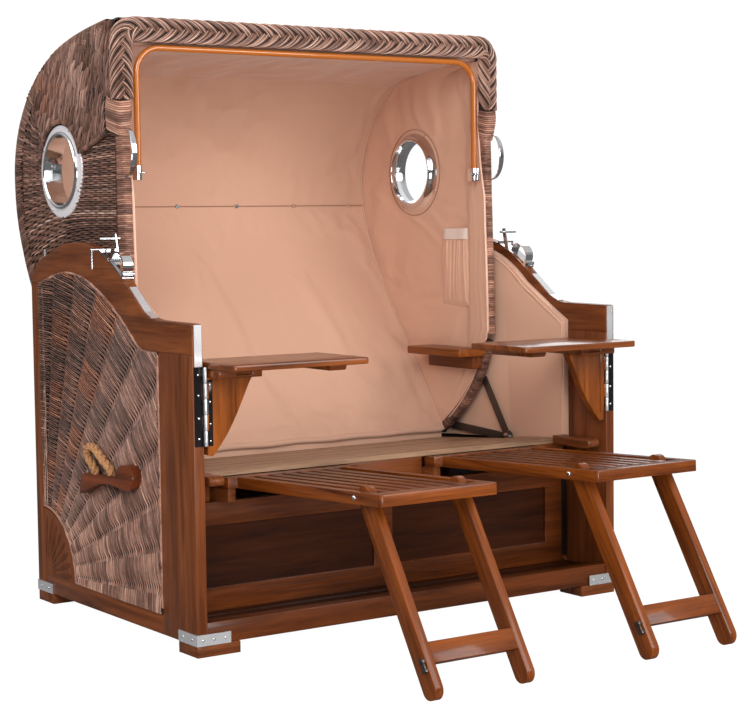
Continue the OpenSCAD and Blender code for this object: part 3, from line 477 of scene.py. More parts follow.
crossGrain = {  # the faces whose grain runs along x
    "footrest_frame": lambda at: at.y < -0.70,
    "footrest_legs": lambda at: 0.198 < abs(at.x) < 0.420,
}
for side, sign in bothSides:
    for name, crosses in crossGrain.items():
        made = bpy.data.objects[side + "_" + name + "_wood"]
        made.data.materials.append(woodMaterial("rest", "x"))
        for face in made.data.polygons:
            face.material_index = int(crosses(face.center))

for material, names in (
    # the kickboard panel takes the dark look, painted shade inside the base
    (woodMaterial("dark", "x"), ["kickboard_panel"]), (woodMaterial("red", "z"), ["sunburst_corners"]),
    (woodMaterial("seat", "x"), ["seat_slats"]), (darkSteel, ["hinge_arms"]), (glass, ["porthole_panes"]),
    (steel, ["corner_plates", "edge_strips"]), (blackPlate, ["table_hinge_leaves"]),
    (chrome, ["hood_pivot_pins", "bow_brackets", "lining_buttons", "left_lock_carriage",
              "right_lock_carriage", "left_lock_handle", "right_lock_handle"]),
    # the solids under the cane take caneShade, painted shade seen through the gaps in the weave
    (caneShade, ["left_wicker_panel", "right_wicker_panel", "back_wicker_panel", "left_hood_side",
                 "right_hood_side", "hood_back_shell", "front_plait", "front_wound_edges",
                 "hood_lower_edging"]),
):
    for name in names:
        nodes[name].data.materials.clear()
        nodes[name].data.materials.append(material)

print("stage: woven cane")


def bez(a, b, c, d, steps):
    a, b, c, d = (Vector(p) for p in (a, b, c, d))
    parts = [(1 - i / steps, i / steps) for i in range(1, steps + 1)]
    return [a * s**3 + b * (3 * s * s * t) + c * (3 * s * t * t) + d * t**3 for s, t in parts]


def joined(start, *pieces):
    # bezier pieces one after another, each as two handles, an end and its steps
    points = [Vector(start)]
    for b, c, d, steps in pieces:
        points += bez(start, b, c, d, steps)
        start = d
    return points


def arcOf(centre, radius, start, end, steps):
    turns = [math.radians(start + (end - start) * i / steps) for i in range(steps + 1)]
    return [Vector((centre[0] + radius * math.cos(t), centre[1] + radius * math.sin(t))) for t in turns]


# outlines of the part's source, as (y, z) in mm from the base's front
baseDeep, postDeep, stileY, railZ, postTop = 888, 168, 835, 78, 714
railInner = joined(
    (835, 864), ((790, 880), (720, 899), (656, 899), 12), ((540, 894), (440, 840), (360, 790), 16),
    ((310, 756), (270, 716), (240, 714), 10))
fanOutline = [Vector((postDeep, railZ)), Vector((stileY, railZ))] + railInner + [Vector((postDeep, postTop))]
shellFront = 518.3
shellCurve = joined(
    (450, 1542), ((620, 1528), (790, 1506), (880, 1456), 16), ((1010, 1390), (1104, 1290), (1104, 1150), 20),
    ((1104, 1050), (1080, 990), (1050, 925), 12), ((1000, 812), (800, 566), (684, 386), 20))


def noiseAt(x, y, z):
    return noise.noise(Vector((x, y, z)))


def swellAt(at, middle, wide):
    # 1 in the middle, fading out on both sides
    return math.exp(-((at - middle) / wide) ** 2)


def share(value):
    return min(1, max(0, value))


def row(x, y, z):
    # from mm, with y from the base's front, to the frame's metres
    return Vector((x / 1000, y / 1000 - midY, z / 1000))


def inside(p, outline):
    hit = False
    last = outline[-1]
    for q in outline:
        if (q.y > p.y) != (last.y > p.y) and p.x < (last.x - q.x) * (p.y - q.y) / (last.y - q.y) + q.x:
            hit = not hit
        last = q
    return hit


def lengths(points):
    total = [0.0]
    for a, b in zip(points, points[1:]):
        total.append(total[-1] + (b - a).length)
    return total


def along(points, total, at):
    at = max(0.0, min(total[-1], at))
    low, high = 0, len(total) - 1
    while high - low > 1:
        mid = (low + high) // 2
        if total[mid] <= at:
            low = mid
        else:
            high = mid
    part = (at - total[low]) / max(1e-9, total[high] - total[low])
    return points[low].lerp(points[high], part), (points[high] - points[low]).normalized()


def caneMesh(name, verts, faces, spots, rusts, crowns):
    # spots: at each corner of each face, the way along the strand and its tone
    mesh = bpy.data.meshes.new(name)
    mesh.from_pydata(verts, [], faces)
    mesh.uv_layers.new(name="strand").data.foreach_set("uv", [v for spot in spots for v in spot])
    for key, domain, values in (("rust", "FACE", rusts), ("crown", "POINT", crowns)):
        mesh.attributes.new(key, "FLOAT", domain).data.foreach_set("value", values)
    return placed(name, mesh)


def ringFaces(first, rings, sides):
    # the faces between rings of points that follow each other
    return [(a + k, a + (k + 1) % sides, a + sides + (k + 1) % sides, a + sides + k)
            for a in range(first, first + rings * sides, sides) for k in range(sides)]


def cellsOf(run, cellAt):
    # a run in cells, each of which reaches the next one's first point
    cells = {}
    for t in run:
        cells.setdefault(cellAt(t), []).append(t)
    keys = sorted(cells)
    for key, later in zip(keys, keys[1:]):
        cells[key].append(cells[later][0])
    return [(key, ts) for key, ts in cells.items() if len(ts) > 1]


def forBoth(add, *settings):
    for side, sign in bothSides:
        add(side, sign, *settings)


def woven(obj, body, covers=(), material=None):
    return finishPiece(obj, body, covers, material or cane, 60)


def strandMesh(name, strands, width, rise, sign=1):
    # each strand: points, the way out at each point, tone, rust
    verts, faces, spots, rusts, crowns = [], [], [], [], []
    for points, outs, tone, rust in strands:
        first = len(verts)
        total = lengths(points)
        last = len(points) - 1
        for i, (p, out) in enumerate(zip(points, outs)):
            ahead = (points[min(i + 1, last)] - points[max(i - 1, 0)]).normalized()
            side = ahead.cross(out).normalized() * (width / 2)
            up = side.cross(ahead).normalized()
            for place in (p - side, p + up * rise, p + side):
                verts.append((place.x * sign, place.y, place.z))
            # crown: painted shade at the strand's two edges, painted highlight on its ridge
            crowns.extend((0.0, 1.0, 0.0))
        for i in range(last):
            a = first + 3 * i
            for k in (0, 1):
                quad = (a + k, a + 3 + k, a + 4 + k, a + 1 + k)
                faces.append(quad if sign > 0 else quad[::-1])
                ends = [(total[i], tone), (total[i + 1], tone)]
                corners = (ends[0], ends[1], ends[1], ends[0])
                spots.extend(corners if sign > 0 else corners[::-1])
                rusts.append(rust)
    return caneMesh(name, verts, faces, spots, rusts, crowns)


def clipped(start, end, step, shown):
    # runs of t where shown(t) holds, with their ends found by halving
    runs, run = [], []
    count = max(2, math.ceil((end - start) / step))
    was, before = False, start
    for i in range(count + 1):
        t = start + (end - start) * i / count
        now = shown(t)
        if i and now != was:
            low, high = before, t
            for halving in range(9):
                mid = (low + high) / 2
                low, high = (mid, high) if shown(mid) == was else (low, mid)
            run.append(low if was else high)
            if was:
                runs.append(run)
                run = []
        if now:
            run.append(t)
        was, before = now, t
    return [r for r in runs + [run] if len(r) > 1 and r[-1] - r[0] > step * 0.2]


fan = {
    "centre": (848, 80), "first": 186, "last": 1010, "pitch": 6.0, "width": 4.7, "rise": 2.1,
    "turns": (88, 180.5), "ribs": 8.7, "swell": 8.4, "face": 647.2, "block": 16,
    "corner": (835, 183), "moves": ((1, 0), (-1, 0), (0, 1), (0, -1)),
}


def addFan(side, sign, s):
    dice = random.Random(11 if sign < 0 else 12)
    centre = Vector(s["centre"])
    begin, end = s["turns"]
    strands = []
    for number in range(int((s["last"] - s["first"]) / s["pitch"])):
        radius = s["first"] + s["pitch"] * number
        bright = dice.random() < 0.10
        shift = dice.uniform(-0.4, 0.4)

        def at(turn):
            sector = (turn - begin) / s["ribs"]
            inSector = sector - math.floor(sector)
            over = math.sin(math.pi * inSector) ** 0.75
            weave = 1 if (int(sector) + number) % 2 else -1
            swell = s["swell"] * min(1, radius / 420)
            out = over * swell + (0.9 + 0.7 * weave) * (1 - over)
            lag = radius + shift - 1.6 * weave * (1 - over) ** 3
            spin = math.radians(turn)
            return Vector((centre.x + lag * math.cos(spin), centre.y + lag * math.sin(spin))), out

        def shown(turn):
            # off the carved corner and clear of the wood around the fan
            p, out = at(turn)
            x, radius = s["corner"]
            if (p.x - x) ** 2 + (p.y - railZ) ** 2 < radius**2:
                return False
            return all(inside(p + Vector(move), fanOutline) for move in s["moves"])

        for run in clipped(begin, end, s["ribs"] / 6, shown):
            for key, turns in cellsOf(run, lambda turn: int((turn - begin) / s["ribs"])):
                dark = ((number + 5 * key) // s["block"] + key) % 2
                rusty = (0.15, 0.65, 0.35, 0.70, 0.15)[key] if key < 5 else 0.10
                tone = (0.08 if dark else 0.20) + dice.uniform(-0.08, 0.09) + (0.16 if bright else 0)
                tone += 0.02 * (key - 4) + (0.04 if radius < 330 else 0)
                points = [row(s["face"] + out, p.x, p.y) for p, out in map(at, turns)]
                rust = rusty * (0.3 if dark else 1) + dice.uniform(0, 0.15)
                strands.append((points, [sideways] * len(points), tone, rust))
    made = strandMesh(side + "_fan_weave", strands, s["width"] / 1000, s["rise"] / 1000, sign)
    return woven(made, "base")


forBoth(addFan, fan)
print("fan weave done")

sideWeave = {
    "pitch": 5.6, "width": 5.2, "rise": 1.5, "stake": 27, "deep": 2.5, "face": 590.6,
    "porthole": (802, 1165, 122), "low": 770, "high": 1262, "front": 486,
}
flapEdge = [(478, 1262), (545, 1248), (673, 1210)] + arcOf((802, 1165), 120, 160, 34, 14) + [
    (925, 1262), (960, 1330), (985, 1385)]


def silhouette(v):
    # rear edge of the hood from the flap down to the arm
    start, end = 640.0, 1560.0
    return along(shellCurve, lengths(shellCurve), end + (start - end) * v)


def rowCurve(v):
    low, high = sideWeave["low"], sideWeave["high"]
    front = Vector((sideWeave["front"], low - 30 + (high - low + 30) * v))
    rear, ahead = silhouette(v)
    normal = Vector((-ahead.y, ahead.x))
    if normal.x < 0 and normal.y < 0:
        normal = -normal
    reach = (rear - front).length
    handles = front + Vector((0.42 * reach, 0)), rear - normal * 0.40 * reach
    return joined(front, (*handles, rear - normal * 3, 60))


def addSideWeave(side, sign, s):
    dice = random.Random(21 if sign < 0 else 22)
    strands = []
    count = int((s["high"] - s["low"] + 30) / s["pitch"])
    port = Vector(s["porthole"][:2])
    for number in range(int(2.26 * count)):
        half = number % 2
        curve = rowCurve(number / 2 / count)
        total = lengths(curve)
        begin = total[-1] * (0.52 if half else 0.0)
        tone = 0.10 + dice.uniform(-0.10, 0.14) + (0.25 if dice.random() < 0.10 else 0)
        rust = dice.uniform(0, 0.35)

        def at(t):
            return along(curve, total, t)[0]

        def shown(t):
            p = at(t)
            return (p - port).length >= s["porthole"][2] and p.x >= s["front"] and p.y >= s["low"]

        for run in clipped(begin, total[-1], s["stake"] / 4, shown):
            points = []
            for t in run:
                p = at(t)
                wave = math.sin(math.pi * t / s["stake"] + math.pi * ((number // 2 + half) % 2))
                points.append(row(s["face"] + 0.9 + s["deep"] * wave, p.x, p.y))
            strands.append((points, [sideways] * len(points), tone, rust))
    made = strandMesh(side + "_side_weave", strands, s["width"] / 1000, s["rise"] / 1000, sign)
    return woven(made, "hood")


forBoth(addSideWeave, sideWeave)
print("side weave done")

flapWeave = {"pitch": 6.6, "width": 6.0, "rise": 2.0, "long": 46, "group": 7, "face": 595.5, "lean": 0.34,
             "swell": 2.6, "porthole": 128, "front": 478, "board": (590.2, 5.5)}
flapOutline = [Vector(p) for p in flapEdge] + [
    p for p in reversed(shellCurve) if p.x > shellFront and p.y > 1330 and p.x < 1040] + [
    Vector((shellFront, 1533)), Vector((478, 1535))]


def blotch(y, z, x=0.0):
    # broad change of tone over the weave, from -1 to 1
    return noise.noise(Vector((x * 9, y / 120, z / 150)) + Vector((3.1, 7.7, 1.3)))


def addFlapWeave(side, sign, s):
    dice = random.Random(31 if sign < 0 else 32)
    strands = []
    number = 0
    across = shellFront - 320
    port = Vector(sideWeave["porthole"][:2])
    while across < 1060:
        across += s["pitch"]
        number += 1
        phase = dice.uniform(0, 2 * math.pi)
        group = number // s["group"]

        def at(t):
            # strands run down from the roof and lean forward
            sway = 3.0 * math.sin(t / 24 + phase * 0.15 + across / 30)
            return Vector((across + sway + s["lean"] * t + 0.00010 * t * t * (across - 500) / 300, 1545 - t))

        def shown(t):
            p = at(t)
            behind = 532 if p.y < 1345 else s["front"]
            return inside(p, flapOutline) and (p - port).length > s["porthole"] and p.x > behind

        def cellAt(t):
            return int(math.floor((t - (at(t).x - 545) * 0.30) / s["long"] + 0.5 * (group % 2)))

        for run in clipped(0, 420, 8, shown):
            for key, ts in cellsOf(run, cellAt):
                middle = at(ts[len(ts) // 2])
                rust = 0.45 * max(0, blotch(middle.x, middle.y))
                rust += 0.35 * max(0, noiseAt(group * 3.7, key * 2.3, 5))
                tone = 0.15 + 0.20 * blotch(middle.x * 1.3, middle.y) + dice.uniform(-0.10, 0.16)
                tone += 0.10 * noiseAt(group * 5.1, key * 3.3, 2)
                points = []
                for i, t in enumerate(ts):
                    p = at(t)
                    out = s["swell"] * math.sin(math.pi * (i / (len(ts) - 1))) ** 0.7
                    points.append(row(s["face"] + out, p.x, p.y))
                strands.append((points, [sideways] * len(points), tone, rust))
    made = strandMesh(side + "_flap_weave", strands, s["width"] / 1000, s["rise"] / 1000, sign)
    woven(made, "hood")
    # a near-black board under the flap weave: painted shade in the gaps between its strands
    board = plateFrom(side + "_flap", flapOutline, *s["board"], sign)
    return finishPiece(board, "hood", (), caneShade, 30)


def plateFrom(name, outline, face, thick, sign):
    # a thin plate on the side of the hood, cut out of its outline
    bpy.ops.curve.primitive_bezier_circle_add(radius=1)
    made = bpy.context.object
    made.name = name
    curve = made.data
    curve.splines.clear()
    curve.dimensions = "2D"
    curve.fill_mode = "BOTH"
    spline = curve.splines.new("POLY")
    spline.points.add(len(outline) - 1)
    for point, p in zip(spline.points, outline):
        point.co = (p.x / 1000 - midY, p.y / 1000, 0, 1)
    spline.use_cyclic_u = True
    curve.extrude = thick / 2000
    choose(made)
    bpy.ops.object.convert(target="MESH")
    made = bpy.context.object
    upright = ((0, 0, 1, sign * (face + thick / 2) / 1000), (1, 0, 0, 0), (0, 1, 0, 0), (0, 0, 0, 1))
    made.matrix_world = Matrix(upright)
    bpy.ops.object.transform_apply(location=True, rotation=True, scale=True)
    return made


forBoth(addFlapWeave, flapWeave)
print("flap weave done")

shellWeave = {"pitch": 7.6, "width": 6.9, "rise": 2.0, "long": 46, "group": 7, "half": 578, "swell": 2.4}


def addShellWeave(s):
    dice = random.Random(41)
    strands = []
    curve = [Vector((477, 1538))] + [p for p in shellCurve if p.x > shellFront or p.y < 1400]
    total = lengths(curve)
    count = int(2 * s["half"] / s["pitch"])
    steps = 4
    for number in range(count + 1):
        x = -s["half"] + 2 * s["half"] * number / count
        group = number // s["group"]
        phase = dice.uniform(0, 1)
        cells = int(total[-1] / s["long"]) + 1
        for cell in range(cells):
            start = (cell - 0.5 * (group % 2)) * s["long"]
            end = start + s["long"]
            start, end = max(0, start), min(total[-1], end)
            if end - start < 6:
                continue
            points, outs = [], []
            for i in range(steps + 1):
                t = start + (end - start) * i / steps
                p, ahead = along(curve, total, t)
                normal = Vector((-ahead.y, ahead.x))
                q = p + normal * (0.6 + s["swell"] * math.sin(math.pi * i / steps) ** 0.8)
                sway = 2.6 * math.sin(t / 24 + x / 30 + phase)
                points.append(row(x + sway, q.x, q.y))
                outs.append(Vector((0, normal.x, normal.y)))
            rust = 0.45 * max(0, blotch(start, 0, x / 1000))
            rust += 0.30 * max(0, noiseAt(group * 3.7, cell * 2.3, 9))
            tone = 0.15 + 0.20 * blotch(start * 1.3, 5, x / 900) + dice.uniform(-0.10, 0.16)
            strands.append((points, outs, tone, rust))
    made = strandMesh("roof_and_back_weave", strands, s["width"] / 1000, s["rise"] / 1000)
    return woven(made, "hood")


addShellWeave(shellWeave)

rim = {"pitch": 5.6, "width": 5.2, "rise": 1.6, "reach": 46, "half": 591.5}


def addRim(side, sign, s):
    # strands bound over the rear edge between the woven side and the back
    dice = random.Random(51 if sign < 0 else 52)
    total = lengths(shellCurve)
    strands = []
    start, end = 75.0, total[-1] - 20
    for number in range(int((end - start) / s["pitch"])):
        t = start + number * s["pitch"]
        p, ahead = along(shellCurve, total, t)
        normal = Vector((-ahead.y, ahead.x))
        slant = ahead * (10 + 6 * noiseAt(t / 60, 0, 1))
        reach = s["reach"] * dice.uniform(0.75, 1.15)
        section = [
            (s["half"] + 3.2, -reach), (s["half"] + 5.6, -reach * 0.6), (s["half"] + 5.4, -reach * 0.25),
            (s["half"] + 3.6, -1), (s["half"] - 1.5, 3.8), (s["half"] - 9, 4.6), (s["half"] - 24, 3.8),
            (s["half"] - 36, 0.4)]
        points, outs = [], []
        for k, (x, height) in enumerate(section):
            q = p + normal * height + slant * (k / 5 - 0.6)
            points.append(row(x, q.x, q.y))
            turn = share((k - 1.5) / 3)
            outs.append(Vector((1 - turn, normal.x * turn, normal.y * turn)).normalized())
        tone = 0.14 + 0.14 * noiseAt(t / 35, 0, 0) + dice.uniform(-0.08, 0.16)
        strands.append((points, outs, tone, dice.uniform(0, 0.3)))
    made = strandMesh(side + "_rear_rim", strands, s["width"] / 1000, s["rise"] / 1000, sign)
    return woven(made, "hood")


forBoth(addRim, rim)
print("roof, back and rims done")


def frameAlong(path, first):
    # at each point: the way ahead and two directions across, kept from twisting
    frames = []
    across = first
    for i in range(len(path)):
        ahead = (path[min(i + 1, len(path) - 1)] - path[max(i - 1, 0)]).normalized()
        across = (across - ahead * across.dot(ahead)).normalized()
        frames.append((ahead, across, ahead.cross(across)))
    return frames


def superPoint(turn, wide, deep, power):
    c, s = math.cos(turn), math.sin(turn)
    return (wide * math.copysign(abs(c) ** (2 / power), c), deep * math.copysign(abs(s) ** (2 / power), s))


def between(values, q):
    # a size that may change along a path: one value, or several in even steps
    if not isinstance(values, (list, tuple)):
        return values
    spot = min(q * (len(values) - 1), len(values) - 1.000001)
    low = int(spot)
    return values[low] + (values[low + 1] - values[low]) * (spot - low)


def woundTube(name, path, first, wide, deep, pitch, s, seed):
    # a padded roll wound with cane: every turn is a ridge, closed at both ends
    dice = random.Random(seed)
    total = lengths(path)
    turns = int(total[-1] * 1000 / pitch)
    sides, parts = s["sides"], 4
    verts, spots, rusts, crowns = [], [], [], []
    fine = [along(path, total, total[-1] * i / (turns * parts))[0] for i in range(turns * parts + 1)]
    frames = frameAlong(fine, first)
    bands = [dice.uniform(0, 1) for _ in range(turns // 5 + 2)]
    tones = [s["low"] + 0.22 * bands[i // 5] + dice.uniform(-0.08, 0.12) for i in range(turns + 1)]
    for i, (p, (ahead, across, over)) in enumerate(zip(fine, frames)):
        height = abs(math.sin(math.pi * i / parts)) ** 0.6
        ridge = s["ridge"] * height
        # the crown paints shade into the grooves between the turns and a highlight on each turn
        crowns.extend([0.15 + 0.85 * height] * sides)
        for k in range(sides):
            turn = 2 * math.pi * k / sides
            q = i / (turns * parts)
            a, b = superPoint(turn, between(wide, q) + ridge, between(deep, q) + ridge, s["power"])
            lean = s["slant"] * math.sin(turn + 0.6)
            verts.append(p + (across * a + over * b + ahead * lean) / 1000)
    loop = 0.14
    faces = ringFaces(0, turns * parts, sides)
    for i in range(turns * parts):
        turn, tone = i // parts, tones[i // parts]
        rusts.extend([0.12 + 0.25 * bands[turn // 5]] * sides)
        for k in range(sides):
            a, b = loop * k / sides + turn * 0.31, loop * (k + 1) / sides + turn * 0.31
            spots.extend([(a, tone), (b, tone), (b, tone), (a, tone)])
    for end, order in ((0, -1), (turns * parts, 1)):
        middle = len(verts)
        verts.append(fine[end])
        crowns.append(0.2)
        for k in range(sides):
            j = (k + 1) % sides
            tri = (middle, end * sides + k, end * sides + j)
            faces.append(tri if order > 0 else tri[::-1])
            spots.extend([(0, 0.05)] * 3)
            rusts.append(0.1)
    return caneMesh(name, verts, faces, spots, rusts, crowns)


wound = {"sides": 28, "power": 4.2, "ridge": 1.5, "slant": 0.0, "low": 0.10}
knot = {"sides": 32, "power": 3.4, "ridge": 2.2, "slant": 8.0, "low": 0.12}
edging = {"sides": 18, "power": 3.4, "ridge": 1.5, "slant": 0.0, "low": -0.06}
lowerCurve = joined(
    (444, 790), ((438, 690), (438, 640), (492, 556), 8), ((540, 486), (600, 440), (661, 398), 8))[1:]


def addWoundEdges(side, sign):
    post = [row(sign * 576.5, y, z) for y, z in (
        (464, 692), (466, 800), (468, 900), (471, 1000), (474, 1100), (476, 1200), (478, 1270))]
    made = woundTube(side + "_wound_edge", post, sideways, 12.2, 27, 5.0, wound, 61 + sign)
    woven(made, "hood", ["front_wound_edges"])
    # a dark board behind the side weave's front edge, in painted shade
    made = shaped(bpy.ops.mesh.primitive_cube_add, side + "_wall_front", (0.017, 0.018, 0.532), size=1,
                  location=row(sign * 580, 509, 1068))
    finishPiece(made, "hood", (), caneShade, 0)
    band = [row(sign * x, y, z) for x, y, z in (
        (579, 492, 1258), (580, 488, 1280), (582, 483, 1310), (582, 479, 1341))]
    made = woundTube(side + "_knot_band", band, sideways, (17, 19, 21.5, 22, 20), (44, 45, 44, 42, 38), 5.4,
                     knot, 63 + sign)
    woven(made, "hood")
    low = [row(sign * 577, p.x + 12 * (p.y < 700), p.y + 8) for p in lowerCurve if p.y < 690]
    made = woundTube(side + "_lower_edging", low, sideways, 12.5, 12, 5.2, edging, 65 + sign)
    woven(made, "hood", ["hood_lower_edging"])


forBoth(addWoundEdges)
print("wound edges done")

plait = {"pitch": 34, "strands": 5, "spacing": 5.6, "advance": 80, "width": 4.4, "rise": 2.6, "leg": 25,
         "head": 25, "deep": 13, "swell": 5.0, "centre": (582, 463, 1511.5), "corner": 34, "low": 1333}


def plaitPath(s):
    x, y, z = s["centre"]
    r = s["corner"]
    rise = z - r - s["low"]
    turns = [math.pi / 2 * i / 10 for i in range(10)]
    points = [row(-x, y, s["low"] + i * rise / 10) for i in range(10)]
    points += [row(-x + r - r * math.cos(a), y, z - r + r * math.sin(a)) for a in turns]
    points += [row(-x + r + (2 * x - 2 * r) * i / 40, y, z) for i in range(40)]
    points += [row(x - r + r * math.sin(a), y, z - r + r * math.cos(a)) for a in turns]
    return points + [row(x, y, z - r - i * rise / 10) for i in range(11)]


def addPlait(s):
    dice = random.Random(71)
    path = plaitPath(s)
    total = lengths(path)
    samples = 400
    fine = [along(path, total, total[-1] * i / samples)[0] for i in range(samples + 1)]
    frames = [(ahead, Vector((0, -1, 0)).cross(ahead).normalized()) for ahead, across, over in
              frameAlong(fine, sideways)]

    def surface(at, turn, lift):
        # turn 0 faces forward, +-90 the outer and inner edge
        spot = max(0.0, min(samples - 1e-6, at / total[-1] * samples))
        low = int(spot)
        part = spot - low
        p = fine[low].lerp(fine[low + 1], part)
        out = frames[low][1].lerp(frames[low + 1][1], part).normalized()
        wide = s["leg"] + (s["head"] - s["leg"]) * out.z ** 2
        a, b = superPoint(math.radians(turn), s["deep"], wide, 2.3)
        push = Vector((a / s["deep"], b / wide)).normalized()
        place = p + (Vector((0, -1, 0)) * (a + push.x * lift) + out * (b + push.y * lift)) / 1000
        return place, Vector((0, -1, 0)) * push.x + out * push.y

    strands = []
    steps = 11
    for leaf in range(-2, int(total[-1] * 1000 / s["pitch"])):
        for hand in (-1, 1):
            base = (leaf + (0.5 if hand > 0 else 0)) * s["pitch"]
            tint = dice.uniform(-0.04, 0.08)
            for n in range(s["strands"]):
                points, outs = [], []
                over = n - (s["strands"] - 1) / 2
                for i in range(steps + 1):
                    q = i / steps
                    reach = 1 - (1 - q) ** 1.5 * 0.55 - 0.45 * (1 - q)
                    turn = hand * (128 * (1 - q) ** 1.15 - 13 * q)
                    at = base + s["advance"] * (0.62 * q + 0.38 * reach) + over * s["spacing"]
                    if at < -4 or at > total[-1] * 1000 + 4:
                        continue
                    lift = s["swell"] * math.sin(math.pi * min(1, 0.12 + 0.88 * q)) ** 0.7
                    lift = lift - 5.0 * max(0, q - 0.78) / 0.22 - 0.45 * abs(over) ** 1.5
                    place, out = surface(at / 1000, turn, lift)
                    points.append(place)
                    outs.append(out)
                if len(points) > 2:
                    # the second and fourth strand of each leaf are 0.26 lighter: painted highlight for the
                    # light lines along the plait
                    tone = 0.10 + tint + dice.uniform(-0.14, 0.16) + (0.26 if n in (1, 3) else 0)
                    strands.append((points, outs, tone, dice.uniform(0.0, 0.18)))
    made = strandMesh("front_plait_leaves", strands, s["width"] / 1000, s["rise"] / 1000)
    woven(made, "hood", (), plaitCane)
    # the plait's core is near-black: painted shade seen between its leaves
    core = woundTube("front_plait_core", path, sideways, s["leg"] - 1.5, s["deep"] - 2, 12, wound, 72)
    return woven(core, "hood", ["front_plait"], caneShade)


addPlait(plait)
print("plait done")

basket = {"pitch": 6.4, "width": 5.8, "rise": 1.4, "stake": 17, "deep": 2.2, "face": 884.4, "low": 81,
          "high": 234, "half": 572}


def addBackPanel(s):
    dice = random.Random(81)
    strands = []
    for number in range(int(s["high"] / s["pitch"])):
        points = []
        for i in range(int(2 * s["half"] / (s["stake"] / 3)) + 1):
            x = -s["half"] + i * s["stake"] / 3
            wave = math.sin(math.pi * x / s["stake"] + math.pi * (number % 2))
            points.append(row(x, s["face"] + 0.6 + s["deep"] * wave, s["low"] + number * s["pitch"]))
        outs = [Vector((0, 1, 0))] * len(points)
        strands.append((points, outs, 0.13 + dice.uniform(-0.06, 0.16), dice.uniform(0, 0.35)))
    made = strandMesh("back_panel_weave", strands, s["width"] / 1000, s["rise"] / 1000)
    return woven(made, "base")


addBackPanel(basket)


def caneTube(name, path, first, radius, tone, rust):
    # one plain cane rod along a path
    sides = 7
    frames = frameAlong(path, first)
    total = lengths(path)
    verts, spots = [], []
    for p, (ahead, across, over) in zip(path, frames):
        for k in range(sides):
            turn = 2 * math.pi * k / sides
            verts.append(p + (across * math.cos(turn) + over * math.sin(turn)) * radius / 1000)
    faces = ringFaces(0, len(path) - 1, sides)
    for near, far in zip(total, total[1:]):
        spots.extend([(near, tone), (near, tone), (far, tone), (far, tone)] * sides)
    faces.append(tuple(range(sides))[::-1])
    faces.append(tuple(range((len(path) - 1) * sides, len(path) * sides)))
    spots.extend([(0, tone)] * (2 * sides))
    return caneMesh(name, verts, faces, spots, [rust] * len(faces), [0.8] * len(verts))


def addFanBorder(side, sign):
    front, low = postDeep + 2.5, railZ + 3
    ring = [Vector((front, low)), Vector((648, low))]
    ring += [Vector((837 - 186 * math.sin(a), railZ + 187 * math.cos(a))) for a in
             [math.pi / 2 - math.pi / 2 * i / 12 for i in range(13)]]
    ring += [Vector((832, z)) for z in (300, 600, 858)] + [p + Vector((0, -3)) for p in railInner[1:]]
    ring += [Vector((front, postTop - 3)), Vector((front, low))]
    total = lengths(ring)
    path = []
    for i in range(int(total[-1] / 9)):
        p = along(ring, total, i * 9)[0]
        path.append(row(sign * (650.2 + 0.5 * math.sin(i * 1.3)), p.x, p.y))
    made = caneTube(side + "_fan_border", path, sideways, 3.6, 0.30, 0.2)
    woven(made, "base")
    strands = []
    for gap in (0, 12):
        points = [row(sign * (653.2 + 0.9 * math.sin(i * 0.9)), 808 + gap - gap * 0.6 * i / 44, 268 + 13.3 * i)
                  for i in range(45)]
        strands.append((points, [sign * sideways] * 45, 0.40, 0.1))
    made = strandMesh(side + "_fan_stakes", strands, 0.0042, 0.0018)
    woven(made, "base")


forBoth(addFanBorder)
print("cane done")

print("stage: linings and soft goods")


def gridPiece(name, columns, rows, place):
    # a grid over u and v from 0 to 1, laid on the surface place(u, v)
    made = shaped(bpy.ops.mesh.primitive_grid_add, name, x_subdivisions=columns, y_subdivisions=rows, size=2)
    for vertex in made.data.vertices:
        vertex.co = place((vertex.co.x + 1) / 2, (vertex.co.y + 1) / 2)
    return made


def cordPiece(name, points, radius):
    # a plain round cord or rod along the points, with closed ends
    line = bpy.data.curves.new(name, "CURVE")
    line.dimensions = "3D"
    line.bevel_depth = radius / 1000
    line.bevel_resolution = 3
    line.use_fill_caps = True
    run = line.splines.new("POLY")
    run.points.add(len(points) - 1)
    for spot, p in zip(run.points, points):
        spot.co = (*p, 1)
    made = placed(name, line)
    choose(made)
    bpy.ops.object.convert(target="MESH")
    return bpy.context.object


def settle(made, held, s):
    # the cloth finds its own wrinkles between what holds it, and moves no further than the cap
    group = made.vertex_groups.new(name="held")
    group.add([v.index for v in made.data.vertices if held(v.co)], 1, "REPLACE")
    rest = [v.co.copy() for v in made.data.vertices]
    drape = made.modifiers.new("drape", "CLOTH")
    drape.settings.quality = 4
    drape.settings.mass = 0.2
    drape.settings.tension_stiffness = 12
    drape.settings.compression_stiffness = 12
    drape.settings.bending_stiffness = s["bend"]
    drape.settings.shrink_min = -s["slack"]
    drape.settings.vertex_group_mass = "held"
    drape.settings.effector_weights.gravity = 0
    drape.settings.use_pressure = s["pressure"] != 0
    drape.settings.uniform_pressure_force = s["pressure"]
    for step in range(1, s["frames"] + 1):
        bpy.context.scene.frame_set(step)
    applyAll(made)
    bpy.context.scene.frame_set(1)
    for vertex, before in zip(made.data.vertices, rest):
        move = vertex.co - before
        if move.length > s["cap"]:
            vertex.co = before + move * (s["cap"] / move.length)
    made.vertex_groups.clear()


def thicken(made, thick, offset=-1):
    skin = made.modifiers.new("skin", "SOLIDIFY")
    skin.thickness = thick / 1000
    skin.offset = offset
    skin.use_even_offset = False
    applyAll(made)


def lined(obj, material, covers=(), smooth=40):
    return finishPiece(obj, "hood", covers, material, smooth)


def mirrored(made, name, material, covers=()):
    other = placed(name, made.data.copy())
    other.scale.x = -1
    choose(other)
    bpy.ops.object.transform_apply(location=False, rotation=False, scale=True)
    editMesh(other)
    bpy.ops.mesh.flip_normals()
    bpy.ops.object.mode_set(mode="OBJECT")
    return lined(other, material, covers)


